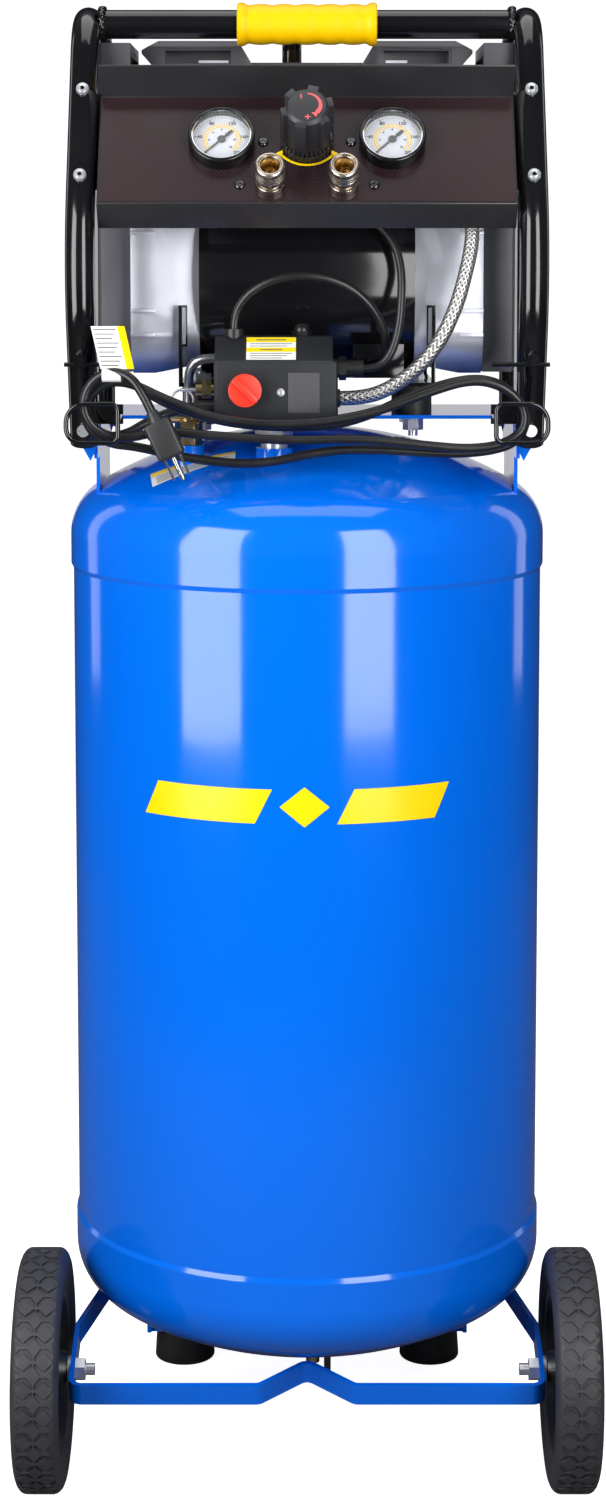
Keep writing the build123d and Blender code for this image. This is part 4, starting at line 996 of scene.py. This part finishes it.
braid = bpy.data.materials.new("steel_braid")
braid.use_nodes = True
weave = braid.node_tree
weave_shader = weave.nodes["Principled BSDF"]
weave_shader.inputs["Metallic"].default_value = 0.9
weave_shader.inputs["Roughness"].default_value = 0.34
weave_uv = weave.nodes.new("ShaderNodeTexCoord")
weave_sum = weave.nodes.new("ShaderNodeMath")
weave_sum.operation = "MAXIMUM"
for k, turn in enumerate((1, -1)):
    stretch = weave.nodes.new("ShaderNodeMapping")
    stretch.inputs["Scale"].default_value = (30, 6 * turn, 1)
    bands = weave.nodes.new("ShaderNodeTexWave")
    bands.wave_type = "BANDS"
    bands.bands_direction = "DIAGONAL"
    bands.wave_profile = "SIN"
    bands.inputs["Scale"].default_value = 1.0
    weave.links.new(weave_uv.outputs["UV"], stretch.inputs["Vector"])
    weave.links.new(stretch.outputs[0], bands.inputs["Vector"])
    weave.links.new(bands.outputs["Fac"], weave_sum.inputs[k])
# Colour: bright strands, and dark (0.05) where both strand bands are low, the hollows of the bump: painted
# shade between the strands.
strand_tone_and_gap_shade = weave.nodes.new("ShaderNodeMix")
strand_tone_and_gap_shade.data_type = "RGBA"
strand_tone_and_gap_shade.inputs[6].default_value = (0.05, 0.05, 0.052, 1)
strand_tone_and_gap_shade.inputs[7].default_value = (0.52, 0.51, 0.5, 1)
weave_bump = weave.nodes.new("ShaderNodeBump")
weave_bump.inputs["Strength"].default_value = 0.6
weave_bump.inputs["Distance"].default_value = 0.0006
weave.links.new(weave_sum.outputs[0], strand_tone_and_gap_shade.inputs[0])
weave.links.new(strand_tone_and_gap_shade.outputs[2], weave_shader.inputs["Base Color"])
weave.links.new(weave_sum.outputs[0], weave_bump.inputs["Height"])
weave.links.new(weave_bump.outputs[0], weave_shader.inputs["Normal"])
soft_line("woven_hose", [[
    (26.8, -110, 920), (46, -110, 920), (68, -110.5, 928), (90, -112, 944), (108, -112, 966), (121, -110, 994),
    (129, -106, 1022), (134, -101, 1046), (134, -98, 1063), (122, -97.3, 1076.8), (104.3, -97.3, 1076.8),
]], 6, braid, ("braided_hose",), 12)
ferrule_shape = [
    (6.1, 0), (7.6, 0), (7.8, 1), (7.2, 3), (7.8, 5), (7.2, 8), (7.8, 11), (7.6, 13), (6.1, 13.4), (6.1, 0),
]
ferrules = turned(ferrule_shape, (118, -97.3, 1076.8), (-1, 0, 0), 32)
settle(ferrules, "hose_ferrules", zinc)
eased("safety_ring", 0.0002, zinc, "safety_ring", angle=60)

# ---- Paper tag on the cord and sticker on the top head
# A folded white tag with a yellow band hangs from the first turn of the cord, with a curl
# of the same paper round the lead. The sticker lies on the curve of the head.

tag_frame = Matrix(((1, 0, 0), (-0.23, 0.25, 0.94), (0, -0.94, 0.25))).transposed().to_4x4()
tag_frame.translation = Vector((-0.1556, -0.1435, 0.9625))
print_set("cord_tag", tag_frame, 27, 36, [(7.5, 13.5, -18, 18)], lines_of(-17, 17, -12, 6, 9, 0.45))
curl = ring_part(-160, 60, 4.8, 5.3, (0, 0), 0, 15, 24)
curl.data.transform(Matrix.Translation((-0.155, -0.1645, 0.9415)) @ Matrix.Rotation(pi / 2, 4, "Y"))
settle(curl, "tag_curl", paper_white)
DOME_MIDDLE = Vector((0, TANK_Y, 0.5369))
DOME_CORNERS = [
    Vector((-0.1263, -0.1048, 0.847)), Vector((-0.0588, -0.0944, 0.8699)),
    Vector((-0.1296, -0.0758, 0.8547)), Vector((-0.0591, -0.0796, 0.874)),
]


def on_dome(x0, x1, y0, y1, lift):
    """A patch of print pressed on the head, in shares of the sticker's width and height."""
    bpy.ops.object.select_all(action="DESELECT")
    bpy.ops.mesh.primitive_grid_add(x_subdivisions=16, y_subdivisions=10, size=1)
    patch = bpy.context.active_object
    for point in patch.data.vertices:
        along = x0 + (x1 - x0) * (point.co.x + 0.5)
        up = y0 + (y1 - y0) * (point.co.y + 0.5)
        low_side = DOME_CORNERS[0].lerp(DOME_CORNERS[1], along)
        high_side = DOME_CORNERS[2].lerp(DOME_CORNERS[3], along)
        out = low_side.lerp(high_side, up) - DOME_MIDDLE
        point.co = DOME_MIDDLE + out.normalized() * (0.3531 + lift)
    return patch


settle(on_dome(0, 1, 0, 1, 0.0002), "dome_sticker_ground", paper_white)
settle(on_dome(0, 1, 0.72, 1, 0.0004), "dome_sticker_band", yellow_ink)
dome_lines = [on_dome(0.06, 0.94 - 0.1 * (k % 3), 0.1 + 0.12 * k, 0.14 + 0.12 * k, 0.0004) for k in range(5)]
settle(join(dome_lines), "dome_sticker_lines", grey_ink)
